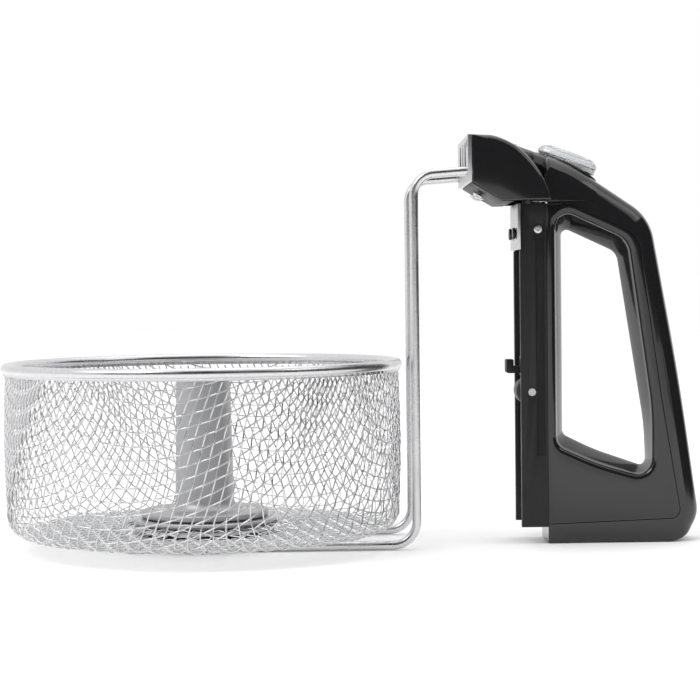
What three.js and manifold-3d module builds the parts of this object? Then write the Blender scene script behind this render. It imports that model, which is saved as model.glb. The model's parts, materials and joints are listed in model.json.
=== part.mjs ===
// Lift-out basket of a rotating deep fryer: a round wire basket that turns on a steel rod carrier,
// with a slide channel and a D-shaped handle that hooks over the fryer's wall.
// Millimetres, +Z up. The drawing frame has X = 0 on the basket's axis and Z = 0 on the table; the
// exported group shifts it so that the origin is under the middle of the whole object.
import * as THREE from "three";
import { mergeVertices } from "three/addons/utils/BufferGeometryUtils.js";
import Module from "manifold-3d";

const wasm = await Module();
wasm.setup();

// ---------------------------------------------------------------- driving dimensions
const gap = 0.3; // clearance between pieces that touch
const runGap = 0.6; // clearance between pieces that slide or turn on each other

// basket
const rimRadius = 105.5; // outside of the rolled bead
const rimTop = 98;
const beadRadius = 2.8;
const skirtHeight = 3.5; // plain strip below the bead
const skirtWall = 1.6;
const wallRadius = 103.6; // outside of the mesh wall at the rim
const wallBulge = 1; // how far the wall swells below the rim
const meshWall = 1.6;
const floorHeight = 8; // underside of the mesh floor
const cornerRadius = 10;
const bossRadius = 40; // raised middle of the mesh floor
const bossRamp = 8;
const bossRise = 2.8;

// hub
const boreRadius = 12.2;
const neckRadius = 17;
const columnFoot = 15.6;
const columnHead = 14.2;
const flangeRadius = 33.7;
const flangeThick = 3.6;
const clampRadius = 38.5;
const clampThick = 2.4;
const washerRadius = 36;
const washerThick = 1.6;
const hubTop = 92.5;
const capThick = 3;
const rivetCircle = 23.4;
const rivetCount = 2;
const rivetRadius = 2.2;
const rivetHead = 4.3;
const rivetSink = 1.3; // depth of the recess for the rivet's head
const rivetRise = 0.5; // how far the head stands out of it
const socketRadius = 7; // across the corners of the hexagonal drive
const socketDepth = 11;
const ringThick = 1;
const ringGroove = 1.2;

// carrier
const rodRadius = 2.3;
const rodSides = 12;
const rodSpacing = 60; // centre to centre
const rodTail = 38; // how far the rods reach past the basket's axis
const rodStand = 111.3; // X of the upright stretch
const lowBend = 12.5;
const highBend = 11;
const rodRise = 193.4; // height at the end of the upper bend
const rodSlope = 4; // degrees
const rodEnd = 150;
const plateRadius = 38;
const plateThick = 2;
const thrustRadius = 30;
const thrustThick = 1.5;

// head
const headFront = 139.1;
const headTop = 213.1;
const headHalf = 34;
const headWall = 1.4;
const headNose = 189; // lower front corner
const headBase = 179.4; // underside at the back
const seamX = 136.9; // centre of the round seam between head and handle
const seamZ = 171.3;
const seamRadius = 45.3;
const bracketWall = 2;
const bracketHalf = 27.4;
const slotWidth = 4;
const slotCount = 3;
const slotPitch = 16;
const slotFoot = 196.5;

// slide channel
const channelLeft = 167.2;
const channelRight = 181;
const channelHalf = 17;
const channelWall = 4;
const channelFoot = 8.9;
const channelTop = 178.4;

// handle
const handleHalf = 14;
const handleBack = 264.1; // X where the sloping back meets the table
const waistHeight = 85; // the back leans a little more above this height
const lowLean = 0.1365; // mm forward per mm of height
const highLean = 0.1767;
const shoulderHeight = 171; // corner between the back and the sloping top
const crestX = 195.8; // corner where the top flattens towards the head
const crestZ = 199.1;
const handleTop = 210.5;
const flareHalf = 31; // half width of the handle where it meets the head
const flareEnd = 208; // X where the flare has run out
const shellWall = 2.5;
const panelHalf = 12.6;
const panelWall = 2;

// release button, rod, latch and roller
const buttonX = 194; // middle of the button on top of the handle
const buttonZ = 201;
const buttonTilt = 20; // degrees
const buttonLength = 32.5;
const buttonWidth = 17;
const buttonRise = 5;
const bezelLength = 37;
const bezelWidth = 21.5;
const bezelRise = 1;
const buttonTravel = 3.5;
const stemRadius = 3;
const latchZ = 92.9;
const latchTall = 7.3;
const latchReach = 6.4; // past the open side of the channel
const latchHalf = 5;
const latchTravel = 6;
const guideWall = 1;
const linkX = 172.6; // middle of the link and its push pin
const linkHalf = 2;
const pinRadius = 1.6;
const rollerX = 173;
const rollerZ = 79.7;
const rollerRadius = 7.3;
const rollerHalf = 8;
const axleRadius = 2;

// ---------------------------------------------------------------- shape helpers
const rad = THREE.MathUtils.degToRad;

function solid(geometry) {
  const plain = geometry.clone();
  plain.deleteAttribute("normal");
  plain.deleteAttribute("uv");
  const merged = mergeVertices(plain, 1e-4);
  return new wasm.Manifold(
    new wasm.Mesh({
      numProp: 3,
      vertProperties: merged.attributes.position.array,
      triVerts: new Uint32Array(merged.index.array),
    }),
  );
}

function geometryOf(body) {
  const mesh = body.getMesh();
  const geometry = new THREE.BufferGeometry();
  geometry.setAttribute("position", new THREE.BufferAttribute(mesh.vertProperties, 3));
  geometry.setIndex(new THREE.BufferAttribute(mesh.triVerts, 1));
  const flat = geometry.toNonIndexed();
  flat.computeVertexNormals();
  return flat;
}

// A block between two corners.
function block([x0, y0, z0], [x1, y1, z1]) {
  const box = new THREE.BoxGeometry(x1 - x0, y1 - y0, z1 - z0);
  box.translate((x0 + x1) / 2, (y0 + y1) / 2, (z0 + z1) / 2);
  return solid(box);
}

// A body of revolution about the vertical axis from [radius, height] points.
function turned(profile, segments = 48) {
  const outline = profile.map(([r, z]) => new THREE.Vector2(r, z));
  if (THREE.ShapeUtils.area(outline) < 0) outline.reverse();
  outline.push(outline[0].clone());
  return solid(new THREE.LatheGeometry(outline, segments).rotateX(Math.PI / 2));
}

// An upright cylinder.
function upright(radius, z0, z1, segments = 24) {
  const shape = new THREE.CylinderGeometry(radius, radius, z1 - z0, segments);
  return solid(shape.rotateX(Math.PI / 2).translate(0, 0, (z0 + z1) / 2));
}

// A cylinder along Y between two stations.
function across(radius, x, z, y0, y1, segments = 24) {
  const shape = new THREE.CylinderGeometry(radius, radius, y1 - y0, segments);
  return solid(shape.translate(x, (y0 + y1) / 2, z));
}

// A cylinder along X between two stations.
function lengthwise(radius, y, z, x0, x1, segments = 24) {
  const shape = new THREE.CylinderGeometry(radius, radius, x1 - x0, segments);
  return solid(shape.rotateZ(Math.PI / 2).translate((x0 + x1) / 2, y, z));
}

// A closed outline from [x, y, corner radius] points.
function rounded(corners) {
  const shape = new THREE.Shape();
  const points = corners.map(([x, y]) => new THREE.Vector2(x, y));
  corners.forEach(([, , radius = 0], i) => {
    const corner = points[i];
    const back = points.at(i - 1).clone().sub(corner).normalize();
    const ahead = points[(i + 1) % points.length].clone().sub(corner).normalize();
    const half = Math.acos(back.dot(ahead)) / 2;
    const start = corner.clone().addScaledVector(back, radius / Math.tan(half));
    if (i) shape.lineTo(start.x, start.y);
    else shape.moveTo(start.x, start.y);
    if (!radius) return;
    const end = corner.clone().addScaledVector(ahead, radius / Math.tan(half));
    const inward = back.clone().add(ahead).normalize();
    const centre = corner.clone().addScaledVector(inward, radius / Math.sin(half));
    const from = start.clone().sub(centre).angle();
    const to = end.clone().sub(centre).angle();
    shape.absarc(centre.x, centre.y, radius, from, to, back.cross(ahead) > 0);
  });
  shape.closePath();
  return shape;
}

// The same corners with every edge moved inwards by a distance, and the corner radii to suit.
function inset(corners, distance) {
  const points = corners.map(([x, y]) => new THREE.Vector2(x, y));
  const turn = Math.sign(THREE.ShapeUtils.area(points));
  const edges = points.map((point, i) => {
    const along = points[(i + 1) % points.length].clone().sub(point).normalize();
    const inward = new THREE.Vector2(-along.y, along.x).multiplyScalar(turn * distance);
    return { foot: point.clone().add(inward), along };
  });
  return corners.map(([, , radius = 0], i) => {
    const before = edges.at(i - 1);
    const after = edges[i];
    const bend = before.along.cross(after.along);
    const reach = after.foot.clone().sub(before.foot).cross(after.along) / bend;
    const corner = before.foot.clone().addScaledVector(before.along, reach);
    const change = turn * bend > 0 ? -distance : distance;
    return [corner.x, corner.y, radius ? Math.max(0.5, radius + change) : 0];
  });
}

// A side outline (x, z) given a width along Y.
function sideways(shape, y0, y1, curveSegments = 6) {
  const options = { depth: y1 - y0, bevelEnabled: false, curveSegments };
  const body = new THREE.ExtrudeGeometry(shape, options);
  return solid(body.rotateX(Math.PI / 2).translate(0, y1, 0));
}

// A plan outline (x, y) given a height along Z.
function raised(shape, z0, z1, curveSegments = 6) {
  const options = { depth: z1 - z0, bevelEnabled: false, curveSegments };
  return solid(new THREE.ExtrudeGeometry(shape, options).translate(0, 0, z0));
}

// Carries a body drawn flat at the origin to the button's seat: turned about Y, then moved.
function seated(body) {
  return body.rotate([0, buttonTilt, 0]).translate([buttonX, 0, buttonZ]);
}

function named(name, body, look) {
  const material = new THREE.MeshStandardMaterial(look);
  const mesh = new THREE.Mesh(geometryOf(body), material);
  mesh.name = name;
  return mesh;
}

// ---------------------------------------------------------------- finishes
const brightSteel = { color: 0xc4c6c8, roughness: 0.25, metalness: 1 };
const satinSteel = { color: 0xa9abad, roughness: 0.42, metalness: 1 };
const darkSteel = { color: 0x3a3b3d, roughness: 0.4, metalness: 1 };
const castAluminium = { color: 0xb4b5b6, roughness: 0.5, metalness: 0.9 };
const glossBlack = { color: 0x0b0b0c, roughness: 0.12, metalness: 0 };
const mattBlack = { color: 0x1a1a1b, roughness: 0.62, metalness: 0 };
const nylon = { color: 0x202022, roughness: 0.55, metalness: 0 };
const clearPlastic = { color: 0xd2d5d8, roughness: 0.1, metalness: 0.2 };

// ---------------------------------------------------------------- basket
const meshRise = floorHeight + bossRise; // underside of the mesh at the boss
const washerBase = meshRise - gap - washerThick;
const clampBase = meshRise + meshWall + gap;
const flangeBase = clampBase + clampThick + gap;
const flangeTop = flangeBase + flangeThick;
const skirtBottom = rimTop - 2 * beadRadius - skirtHeight + beadRadius;
const hubHole = neckRadius + gap;
const rivetHole = rivetRadius + gap;

function aroundRivets(make) {
  return Array.from({ length: rivetCount }, (_, i) => {
    const angle = (360 / rivetCount) * i;
    return make(i).translate([rivetCircle, 0, 0]).rotate([0, 0, angle]);
  });
}

// Cuts the rivet holes through a plate.
function drilled(body, z0, z1) {
  const drill = () => upright(rivetHole, z0 - 1, z1 + 1, 12);
  return aroundRivets(drill).reduce((left, hole) => left.subtract(hole), body);
}

function meshBowl() {
  const wallTop = skirtBottom - gap;
  const wallFoot = floorHeight + cornerRadius;
  const outside = [];
  const inside = [];
  const bulgeSteps = 4;
  for (let i = 0; i <= bulgeSteps; i++) {
    const t = i / bulgeSteps;
    const radius = wallRadius + wallBulge * Math.sin(Math.PI * t);
    const z = wallTop + (wallFoot - wallTop) * t;
    outside.push([radius, z]);
    inside.push([radius - meshWall, z]);
  }
  const cornerSteps = 5;
  for (let i = 1; i <= cornerSteps; i++) {
    const angle = (Math.PI / 2) * (i / cornerSteps);
    const reach = Math.cos(angle);
    const drop = Math.sin(angle);
    const centre = wallRadius - cornerRadius;
    outside.push([centre + cornerRadius * reach, wallFoot - cornerRadius * drop]);
    const inner = cornerRadius - meshWall;
    inside.push([centre + inner * reach, wallFoot - inner * drop]);
  }
  for (const [radius, z] of [[bossRadius + bossRamp, floorHeight], [bossRadius, meshRise], [hubHole, meshRise]]) {
    outside.push([radius, z]);
    inside.push([radius, z + meshWall]);
  }
  const shell = turned([...outside, ...inside.reverse()], 48);
  return drilled(shell, meshRise, meshRise + meshWall);
}

function rimRing() {
  const beadCentre = rimRadius - beadRadius;
  const beadHeight = rimTop - beadRadius;
  const skirtOuter = wallRadius + skirtWall / 2;
  const skirtInner = wallRadius - skirtWall / 2;
  const profile = [[skirtInner, skirtBottom], [skirtOuter, skirtBottom]];
  const start = -Math.acos((skirtOuter - beadCentre) / beadRadius);
  const end = Math.PI + 0.9;
  const steps = 7;
  for (let i = 0; i <= steps; i++) {
    const angle = start + ((end - start) * i) / steps;
    profile.push([beadCentre + beadRadius * Math.cos(angle), beadHeight + beadRadius * Math.sin(angle)]);
  }
  profile.push([skirtInner, beadHeight - beadRadius]);
  return turned(profile, 48);
}

// The cast hub: neck through the floor, flange, tapered column and closed top.
function hubCasting() {
  const neckFoot = 1.5;
  const grooveTop = plateBase - gap;
  const grooveFoot = grooveTop - ringThick - 2 * gap;
  const grooveRadius = neckRadius - ringGroove;
  const body = turned([
    [boreRadius, neckFoot], [neckRadius - 0.5, neckFoot], [neckRadius, grooveFoot - 0.6],
    [neckRadius, grooveFoot], [grooveRadius, grooveFoot], [grooveRadius, grooveTop], [neckRadius, grooveTop],
    [neckRadius, flangeBase], [flangeRadius, flangeBase], [flangeRadius, flangeTop - 1],
    [flangeRadius - 1, flangeTop], [columnFoot + 5, flangeTop], [columnFoot + 1.4, flangeTop + 1.6],
    [columnFoot, flangeTop + 5.5], [columnHead, hubTop - 1], [columnHead - 1, hubTop],
    [0, hubTop], [0, hubTop - capThick], [boreRadius - 1.2, hubTop - capThick],
  ], 32);
  const recess = () => upright(rivetHead + gap, flangeTop - rivetSink, flangeTop + 1, 24);
  return aroundRivets(recess).reduce((left, hole) => left.subtract(hole), drilled(body, flangeBase, flangeTop));
}

// Hexagonal drive insert under the hub's closed top.
function driveSocket() {
  const outer = boreRadius - 1.2 - 0.5;
  const top = hubTop - capThick - gap;
  const hexagon = upright(socketRadius, top - socketDepth - 1, top + 1, 6);
  return upright(outer, top - socketDepth, top, 32).subtract(hexagon);
}

function clampRing() {
  const lip = 1;
  const ring = turned([
    [hubHole, clampBase], [clampRadius - lip, clampBase], [clampRadius, clampBase + lip],
    [clampRadius, clampBase + clampThick - 0.4], [clampRadius - 0.4, clampBase + clampThick],
    [hubHole, clampBase + clampThick],
  ], 48);
  return drilled(ring, clampBase, flangeBase);
}

function baseWasher() {
  const ring = turned([
    [hubHole, washerBase], [washerRadius, washerBase],
    [washerRadius, washerBase + washerThick], [hubHole, washerBase + washerThick],
  ], 48);
  return drilled(ring, washerBase, washerBase + washerThick);
}

function rivet() {
  const shank = washerBase + 0.2;
  const seat = flangeTop - rivetSink + gap;
  return turned([
    [0, shank], [rivetRadius, shank], [rivetRadius, seat], [rivetHead, seat],
    [rivetHead, flangeTop], [rivetHead * 0.75, flangeTop + rivetRise * 0.7], [0, flangeTop + rivetRise],
  ], 20);
}

// Snap ring in the neck's groove, under the bearing plate.
function retainingRing() {
  const inner = neckRadius - ringGroove + gap;
  const outer = neckRadius + 3;
  const z0 = plateBase - 2 * gap - ringThick;
  const ring = turned([[inner, z0], [outer, z0], [outer, z0 + ringThick], [inner, z0 + ringThick]], 40);
  return ring.subtract(block([inner - 3, -3, z0 - 1], [outer + 1, 3, z0 + 2]));
}

// ---------------------------------------------------------------- carrier
const rodHigh = rodRadius * Math.cos(Math.PI / rodSides); // centre height when a flat lies on the table
const plateBase = 2 * rodHigh + gap;
const thrustBase = plateBase + plateThick + gap;

// A path through hand-set points, kept as they are.
class PointPath extends THREE.Curve {
  constructor(points) {
    super();
    this.points = points;
  }
  getPoint(t) {
    const at = t * (this.points.length - 1);
    const i = Math.min(Math.floor(at), this.points.length - 2);
    return this.points[i].clone().lerp(this.points[i + 1], at - i);
  }
  getPointAt(u) {
    return this.getPoint(u);
  }
  getTangentAt(u) {
    const step = 0.5 / (this.points.length - 1);
    const from = this.getPoint(Math.max(0, u - step));
    return this.getPoint(Math.min(1, u + step)).sub(from).normalize();
  }
}

// The rod's centre line: along the table, up past the rim, and over into the head.
function rodLine(y) {
  const points = [new THREE.Vector3(-rodTail, y, rodHigh)];
  const bendSteps = 8;
  const slope = rad(rodSlope);
  const low = new THREE.Vector3(rodStand - lowBend, y, rodHigh + lowBend);
  for (let i = 0; i <= bendSteps; i++) {
    const angle = (Math.PI / 2) * (i / bendSteps - 1);
    points.push(new THREE.Vector3(low.x + lowBend * Math.cos(angle), y, low.z + lowBend * Math.sin(angle)));
  }
  const highCentre = rodRise - highBend * Math.cos(slope);
  for (let i = 0; i <= bendSteps; i++) {
    const angle = Math.PI - (Math.PI / 2 - slope) * (i / bendSteps);
    const x = rodStand + highBend + highBend * Math.cos(angle);
    points.push(new THREE.Vector3(x, y, highCentre + highBend * Math.sin(angle)));
  }
  const last = points.at(-1);
  points.push(new THREE.Vector3(rodEnd, y, last.z + (rodEnd - last.x) * Math.tan(slope)));
  return points;
}

function carrierRod(y) {
  const points = rodLine(y);
  const section = new THREE.Shape();
  for (let i = 0; i < rodSides; i++) {
    const angle = (2 * Math.PI * (i + 0.5)) / rodSides;
    section[i ? "lineTo" : "moveTo"](rodRadius * Math.cos(angle), rodRadius * Math.sin(angle));
  }
  section.closePath();
  const path = new PointPath(points);
  const options = { steps: points.length - 1, extrudePath: path, bevelEnabled: false };
  return solid(new THREE.ExtrudeGeometry(section, options));
}

function bearingPlate() {
  const hole = neckRadius + runGap;
  return turned([
    [hole, plateBase], [plateRadius, plateBase],
    [plateRadius, plateBase + plateThick], [hole, plateBase + plateThick],
  ], 48);
}

function thrustWasher() {
  const hole = neckRadius + runGap;
  return turned([
    [hole, thrustBase], [thrustRadius, thrustBase],
    [thrustRadius, thrustBase + thrustThick], [hole, thrustBase + thrustThick],
  ], 40);
}

// ---------------------------------------------------------------- head
const handleLeft = channelRight + gap;
const seamFoot = seamX + Math.sqrt(seamRadius ** 2 - (headBase - seamZ) ** 2);
const slantFoot = headFront + 18.1;

// The head's side outline: flat top, round shoulder, round seam, flat base and slanted underside.
function headOutline(inset) {
  const shape = new THREE.Shape();
  const front = headFront + bracketWall + gap;
  const radius = seamRadius - inset;
  const top = headTop - inset;
  const base = headBase + inset;
  const shoulder = 0.93; // angle on the seam arc where the round shoulder meets it
  shape.moveTo(front - (inset ? 1 : 0), top);
  shape.lineTo(front - (inset ? 1 : 0), headNose + inset);
  shape.lineTo(slantFoot, base);
  const low = Math.asin((base - seamZ) / radius);
  shape.absarc(seamX, seamZ, radius, low, shoulder, false);
  shape.quadraticCurveTo(155, top, 149, top);
  shape.closePath();
  return shape;
}

function headCover() {
  const outside = sideways(headOutline(0), -headHalf, headHalf);
  const inside = sideways(headOutline(headWall), -headHalf + headWall, headHalf - headWall);
  const under = new THREE.Shape();
  const lid = headWall + gap;
  under.moveTo(headFront, headNose - 12);
  under.lineTo(seamFoot - 4, headNose - 12);
  under.lineTo(seamFoot - 4, headBase + lid);
  under.lineTo(slantFoot + 0.6, headBase + lid);
  under.lineTo(headFront + bracketWall + gap, headNose + lid);
  under.lineTo(headFront, headNose + lid);
  under.closePath();
  const stemWay = block([seamFoot - 20, -8, headBase - 2], [seamFoot + 4, 8, headBase + 12]);
  return outside
    .subtract(inside)
    .subtract(sideways(under, -headHalf + headWall, headHalf - headWall))
    .subtract(stemWay);
}

// Front plate, side cheeks and top of the welded steel bracket inside the head.
function headBracket() {
  const front = headFront;
  const behind = headFront + bracketWall;
  const plate = block([front, -headHalf, headNose], [behind, headHalf, headTop]);
  const cheekOutline = () => rounded([
    [behind - 0.5, headNose + 6, 0], [slantFoot - 1, headBase + 9, 0], [seamX + 33, headBase + 9, 4],
    [seamX + 33, headBase + 17, 4], [seamX + 19, headTop - 8, 4], [behind - 0.5, headTop - 4, 0],
  ]);
  const cheek = (y0, y1) => sideways(cheekOutline(), y0, y1);
  const cheekInner = bracketHalf - bracketWall;
  let body = plate
    .add(cheek(-bracketHalf, -cheekInner))
    .add(cheek(cheekInner, bracketHalf))
    .add(block([behind - 0.5, -cheekInner - 0.5, headTop - 8], [seamX + 17, cheekInner + 0.5, headTop - 8 + bracketWall]));
  const rodAt = rodLine(0).at(-2);
  const rodZ = rodAt.z + (front - rodAt.x) * Math.tan(rad(rodSlope));
  for (const side of [-1, 1]) {
    const hole = lengthwise(rodRadius + 0.4, (side * rodSpacing) / 2, rodZ, front - 2, behind + 2, 20);
    body = body.subtract(hole);
  }
  for (let i = 0; i < slotCount; i++) {
    const y = (i - (slotCount - 1) / 2) * slotPitch;
    const slot = block([front - 1, y - slotWidth / 2, slotFoot], [behind + 1, y + slotWidth / 2, headTop - 3]);
    body = body.subtract(slot);
  }
  const hook = block([front - 1, -headHalf + 4, headTop - 6], [behind + 1, -headHalf + 9, headTop - 2]);
  return body.subtract(hook);
}

const screwSpan = 10; // half the distance between the two underside screws
const screwRadius = 1.5;

function undersideScrewSeat() {
  return { x: slantFoot - 9.6, z: headBase + 5.6 };
}

// Slanted cover that closes the head's underside.
function headUnderside() {
  const thick = 1.8;
  const inner = headHalf - headWall - gap;
  const shape = new THREE.Shape();
  shape.moveTo(headFront + bracketWall + gap, headNose - 0.6);
  shape.lineTo(slantFoot, headBase - 0.4);
  shape.lineTo(channelLeft - 4, headBase - 0.4);
  shape.lineTo(channelLeft - 4, headBase - 0.4 + thick);
  shape.lineTo(slantFoot + 0.4, headBase - 0.4 + thick);
  shape.lineTo(headFront + bracketWall + gap, headNose - 0.6 + thick);
  shape.closePath();
  const seat = undersideScrewSeat();
  let body = sideways(shape, -inner, inner);
  for (const y of [-screwSpan, screwSpan]) {
    const hole = upright(screwRadius + gap, -8, 8, 16).rotate([0, -slantAngle, 0]).translate([seat.x, y, seat.z]);
    body = body.subtract(hole);
  }
  return body;
}

const slantAngle = THREE.MathUtils.radToDeg(
  Math.atan2(headNose - headBase, slantFoot - headFront - bracketWall),
) * -1;

function undersideScrew(y) {
  const seat = undersideScrewSeat();
  const screw = turned([
    [0, 6], [screwRadius, 6], [screwRadius, -1.9 - gap], [3.2, -1.9 - gap],
    [3, -3], [2, -3.8], [0, -4],
  ], 16);
  return screw.rotate([0, -slantAngle, 0]).translate([seat.x, y, seat.z]);
}

// Steel tab that comes down from the head over the open side of the channel.
const tabHalf = 18.6;
const tabThick = 1.6;
const tabFoot = 154.3;
const tabSeat = channelLeft + 0.6; // the step behind the tab
const tabScrewZ = 163;
const tabScrewY = 9;

function channelTab() {
  const x1 = tabSeat - gap;
  const x0 = x1 - tabThick;
  let body = block([x0, -tabHalf, tabFoot], [x1, tabHalf, headBase - 1]);
  for (const y of [-tabScrewY, tabScrewY]) {
    body = body.subtract(lengthwise(screwRadius + gap, y, tabScrewZ, x0 - 1, x1 + 1, 16));
  }
  return body;
}

function tabScrew(y) {
  const x1 = tabSeat - gap - tabThick - gap;
  const head = lengthwise(3, y, tabScrewZ, x1 - 1.5, x1, 16);
  return head.add(lengthwise(screwRadius, y, tabScrewZ, x1 - 0.5, channelLeft + 6, 16));
}

// ---------------------------------------------------------------- slide channel
const webLeft = channelRight - channelWall; // inside face of the channel's back
const sideScrewX = 176.6;
const sideScrewZ = 164.9;
const pocketLeft = 173.9;
const pocketFoot = 159.4;
const pocketTop = 170.1;
const grooveLeft = 175.2;
const grooveFoot = 46.5;
const sideScrewHead = 2.2;
const guideTop = latchZ + latchTall / 2 + gap + guideWall;

function slideChannel() {
  const outer = block([channelLeft, -channelHalf, channelFoot], [channelRight, channelHalf, channelTop]);
  const inner = channelHalf - channelWall;
  const hollow = block([channelLeft - 1, -inner, channelFoot - 1], [webLeft, inner, channelTop + 1]);
  // the sliding faces end below the tab, which lies in a shallow step
  const step = block([channelLeft - 1, -channelHalf - 1, tabFoot - gap], [tabSeat, channelHalf + 1, channelTop + 1]);
  let body = outer.subtract(hollow).subtract(step);
  // a bridge for the two tab screws
  body = body.add(block([tabSeat, -inner - 0.5, tabScrewZ - 5], [channelLeft + 4, -4.5, tabScrewZ + 5]));
  body = body.add(block([tabSeat, 4.5, tabScrewZ - 5], [channelLeft + 4, inner + 0.5, tabScrewZ + 5]));
  for (const y of [-tabScrewY, tabScrewY]) {
    body = body.subtract(lengthwise(screwRadius + gap, y, tabScrewZ, channelLeft - 1, channelLeft + 7, 16));
  }
  for (const side of [-1, 1]) {
    // screw pocket and the long groove below it
    const face = side * channelHalf;
    const order = (a, b) => [Math.min(a, b), Math.max(a, b)];
    const [p0, p1] = order(face - side * 1.2, face + side);
    body = body.subtract(block([pocketLeft, p0, pocketFoot], [channelRight - 0.8, p1, pocketTop]));
    const [g0, g1] = order(face - side * 0.8, face + side);
    body = body.subtract(block([grooveLeft, g0, grooveFoot], [channelRight - 1.4, g1, pocketFoot + 1]));
    body = body.subtract(across(screwRadius + gap, sideScrewX, sideScrewZ, ...order(face - side * 6, face + side), 16));
    body = body.subtract(across(axleRadius + gap, rollerX, rollerZ, ...order(face - side * 6, face + side), 20));
  }
  // the latch slides through a guide on the web
  const guideTall = latchTall / 2 + gap;
  const guideLeft = channelLeft + 1.6;
  const guide = block([guideLeft, -latchHalf - 2, latchZ - guideTall - guideWall], [webLeft + 0.5, latchHalf + 2, guideTop]);
  const way = block([guideLeft - 1, -latchHalf - gap, latchZ - guideTall], [channelRight + 1, latchHalf + gap, latchZ + guideTall]);
  const pinWay = upright(pinRadius + 2 * gap, latchZ, guideTop + 1, 16).translate([linkX, 0, 0]);
  body = body.add(guide).subtract(way).subtract(pinWay);
  // window in the web behind the roller
  const room = rollerRadius + runGap;
  const wide = rollerHalf + runGap;
  return body.subtract(block([webLeft - 1, -wide, rollerZ - room], [channelRight + 1, wide, rollerZ + room]));
}

function sideScrew(side) {
  const face = channelHalf - 1.2 + gap;
  const order = [side * (face + 1), side * face].sort((a, b) => a - b);
  const shank = [side * (face + 0.5), side * (channelHalf - channelWall + 0.6)].sort((a, b) => a - b);
  return across(sideScrewHead, sideScrewX, sideScrewZ, ...order, 20)
    .add(across(screwRadius, sideScrewX, sideScrewZ, ...shank, 16));
}

// ---------------------------------------------------------------- handle
// X of the handle's back at a height.
function backAt(z) {
  const above = Math.max(0, z - waistHeight);
  return handleBack - lowLean * (z - above) - highLean * above;
}

const handleCorners = [
  [handleLeft, 0, 0], [backAt(0), 0, 17], [backAt(waistHeight), waistHeight, 1500],
  [backAt(shoulderHeight), shoulderHeight, 27], [crestX, crestZ, 60],
  [seamX + 28, handleTop, 1], [seamX + 28, handleTop - 10, 0], [handleLeft, 174, 0],
];

// The window in the handle's side that the side panel fills.
const panelCorners = [
  [handleLeft, 9.9, 0], [251.6, 12.3, 5], [241.4, 76, 300],
  [229.6, 160.9, 13], [193.5, 178.2, 16], [handleLeft, 178.2, 0],
];

// The hand opening where its wall meets the side faces; the wall swells inwards between them.
const openingCorners = [
  [186.2, 51.5, 7], [207, 41.9, 120], [236.4, 33.2, 8],
  [236.4, 70, 150], [224.4, 158.7, 12], [186.2, 176.6, 7],
];
const openingSwell = 4.6;

const handleOutline = (wall = 0) => rounded(inset(handleCorners, wall));
const panelOutline = (wall = 0) => rounded(inset(panelCorners, wall));
const openingOutline = (wall = 0) => rounded(inset(openingCorners, wall));

// Everything inside the head's seam, cut out of the handle's end.
function seamCut() {
  return across(seamRadius + gap, seamX, seamZ, -headHalf, headHalf, 72);
}

// The handle's front end, which widens in plan to meet the head.
function handleFlare() {
  const front = seamX + 20;
  const plan = new THREE.Shape();
  plan.moveTo(front, -flareHalf);
  plan.bezierCurveTo(flareEnd - 26, 2 - flareHalf, flareEnd - 18, -handleHalf, flareEnd, -handleHalf);
  plan.lineTo(flareEnd, handleHalf);
  plan.bezierCurveTo(flareEnd - 18, handleHalf, flareEnd - 26, flareHalf - 2, front, flareHalf);
  plan.closePath();
  const above = block([front, -flareHalf, headBase + gap], [flareEnd, flareHalf, headTop]);
  return sideways(handleOutline(), -flareHalf, flareHalf, 5).intersect(above).intersect(raised(plan, 0, headTop, 8));
}

function handleShell() {
  const outside = sideways(handleOutline(), -handleHalf, handleHalf, 5).add(handleFlare());
  const inner = handleHalf - shellWall;
  const hollow = sideways(handleOutline(shellWall), -inner, inner, 5);
  const mouth = block([handleLeft - 20, -inner, shellWall], [handleLeft + shellWall + 1, inner, 174]);
  const panel = sideways(panelOutline(-gap), -handleHalf - 1, handleHalf + 1, 5);
  const leftOver = block([handleLeft - 30, -flareHalf - 1, -1], [handleLeft, flareHalf + 1, 172]);
  return outside
    .subtract(hollow)
    .subtract(mouth)
    .subtract(panel)
    .subtract(leftOver)
    .subtract(seamCut())
    .subtract(seated(upright(stemRadius + 0.8, -40, 20, 24)))
    .subtract(seated(raised(buttonWay(), -buttonTravel - 2 * gap, 20, 10)));
}

// The space of the hand opening: full size at both side faces, smaller by the swell in the middle.
function handSpace() {
  const options = {
    depth: 0.02, bevelEnabled: true, bevelThickness: panelHalf, bevelSize: -openingSwell,
    bevelSegments: 4, curveSegments: 5,
  };
  return solid(new THREE.ExtrudeGeometry(openingOutline(), options).rotateX(Math.PI / 2));
}

// One half of the inner handle body: side face, outer edge and the wall round the hand opening.
function sidePanel(side) {
  const order = (a, b) => [Math.min(a, b), Math.max(a, b)];
  const full = order(side * (gap / 2), side * panelHalf);
  const hollow = order(side * -1, side * (panelHalf - panelWall));
  const body = sideways(panelOutline(), ...full, 5).subtract(handSpace());
  const openingWall = sideways(openingOutline(-panelWall), ...order(side * -2, side * 20), 5);
  const pocket = sideways(panelOutline(panelWall), ...hollow, 5).subtract(openingWall);
  const latchTallWay = latchTall / 2 + 2 * gap;
  const latchWay = block(
    [handleLeft - 1, -latchHalf - 2 * gap, latchZ - latchTallWay],
    [webLeft + latchTravel + gap, latchHalf + 2 * gap, latchZ + latchTallWay],
  );
  return body.subtract(pocket).subtract(seamCut()).subtract(latchWay);
}

// ---------------------------------------------------------------- release mechanism
const ovalAt = (length, width) => {
  const shape = new THREE.Shape();
  shape.absellipse(0, 0, length / 2, width / 2, 0, 2 * Math.PI, false, 0);
  return shape;
};

// The oval that the button moves through.
const buttonWay = () => ovalAt(buttonLength + 2 * runGap, buttonWidth + 2 * runGap);

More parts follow.
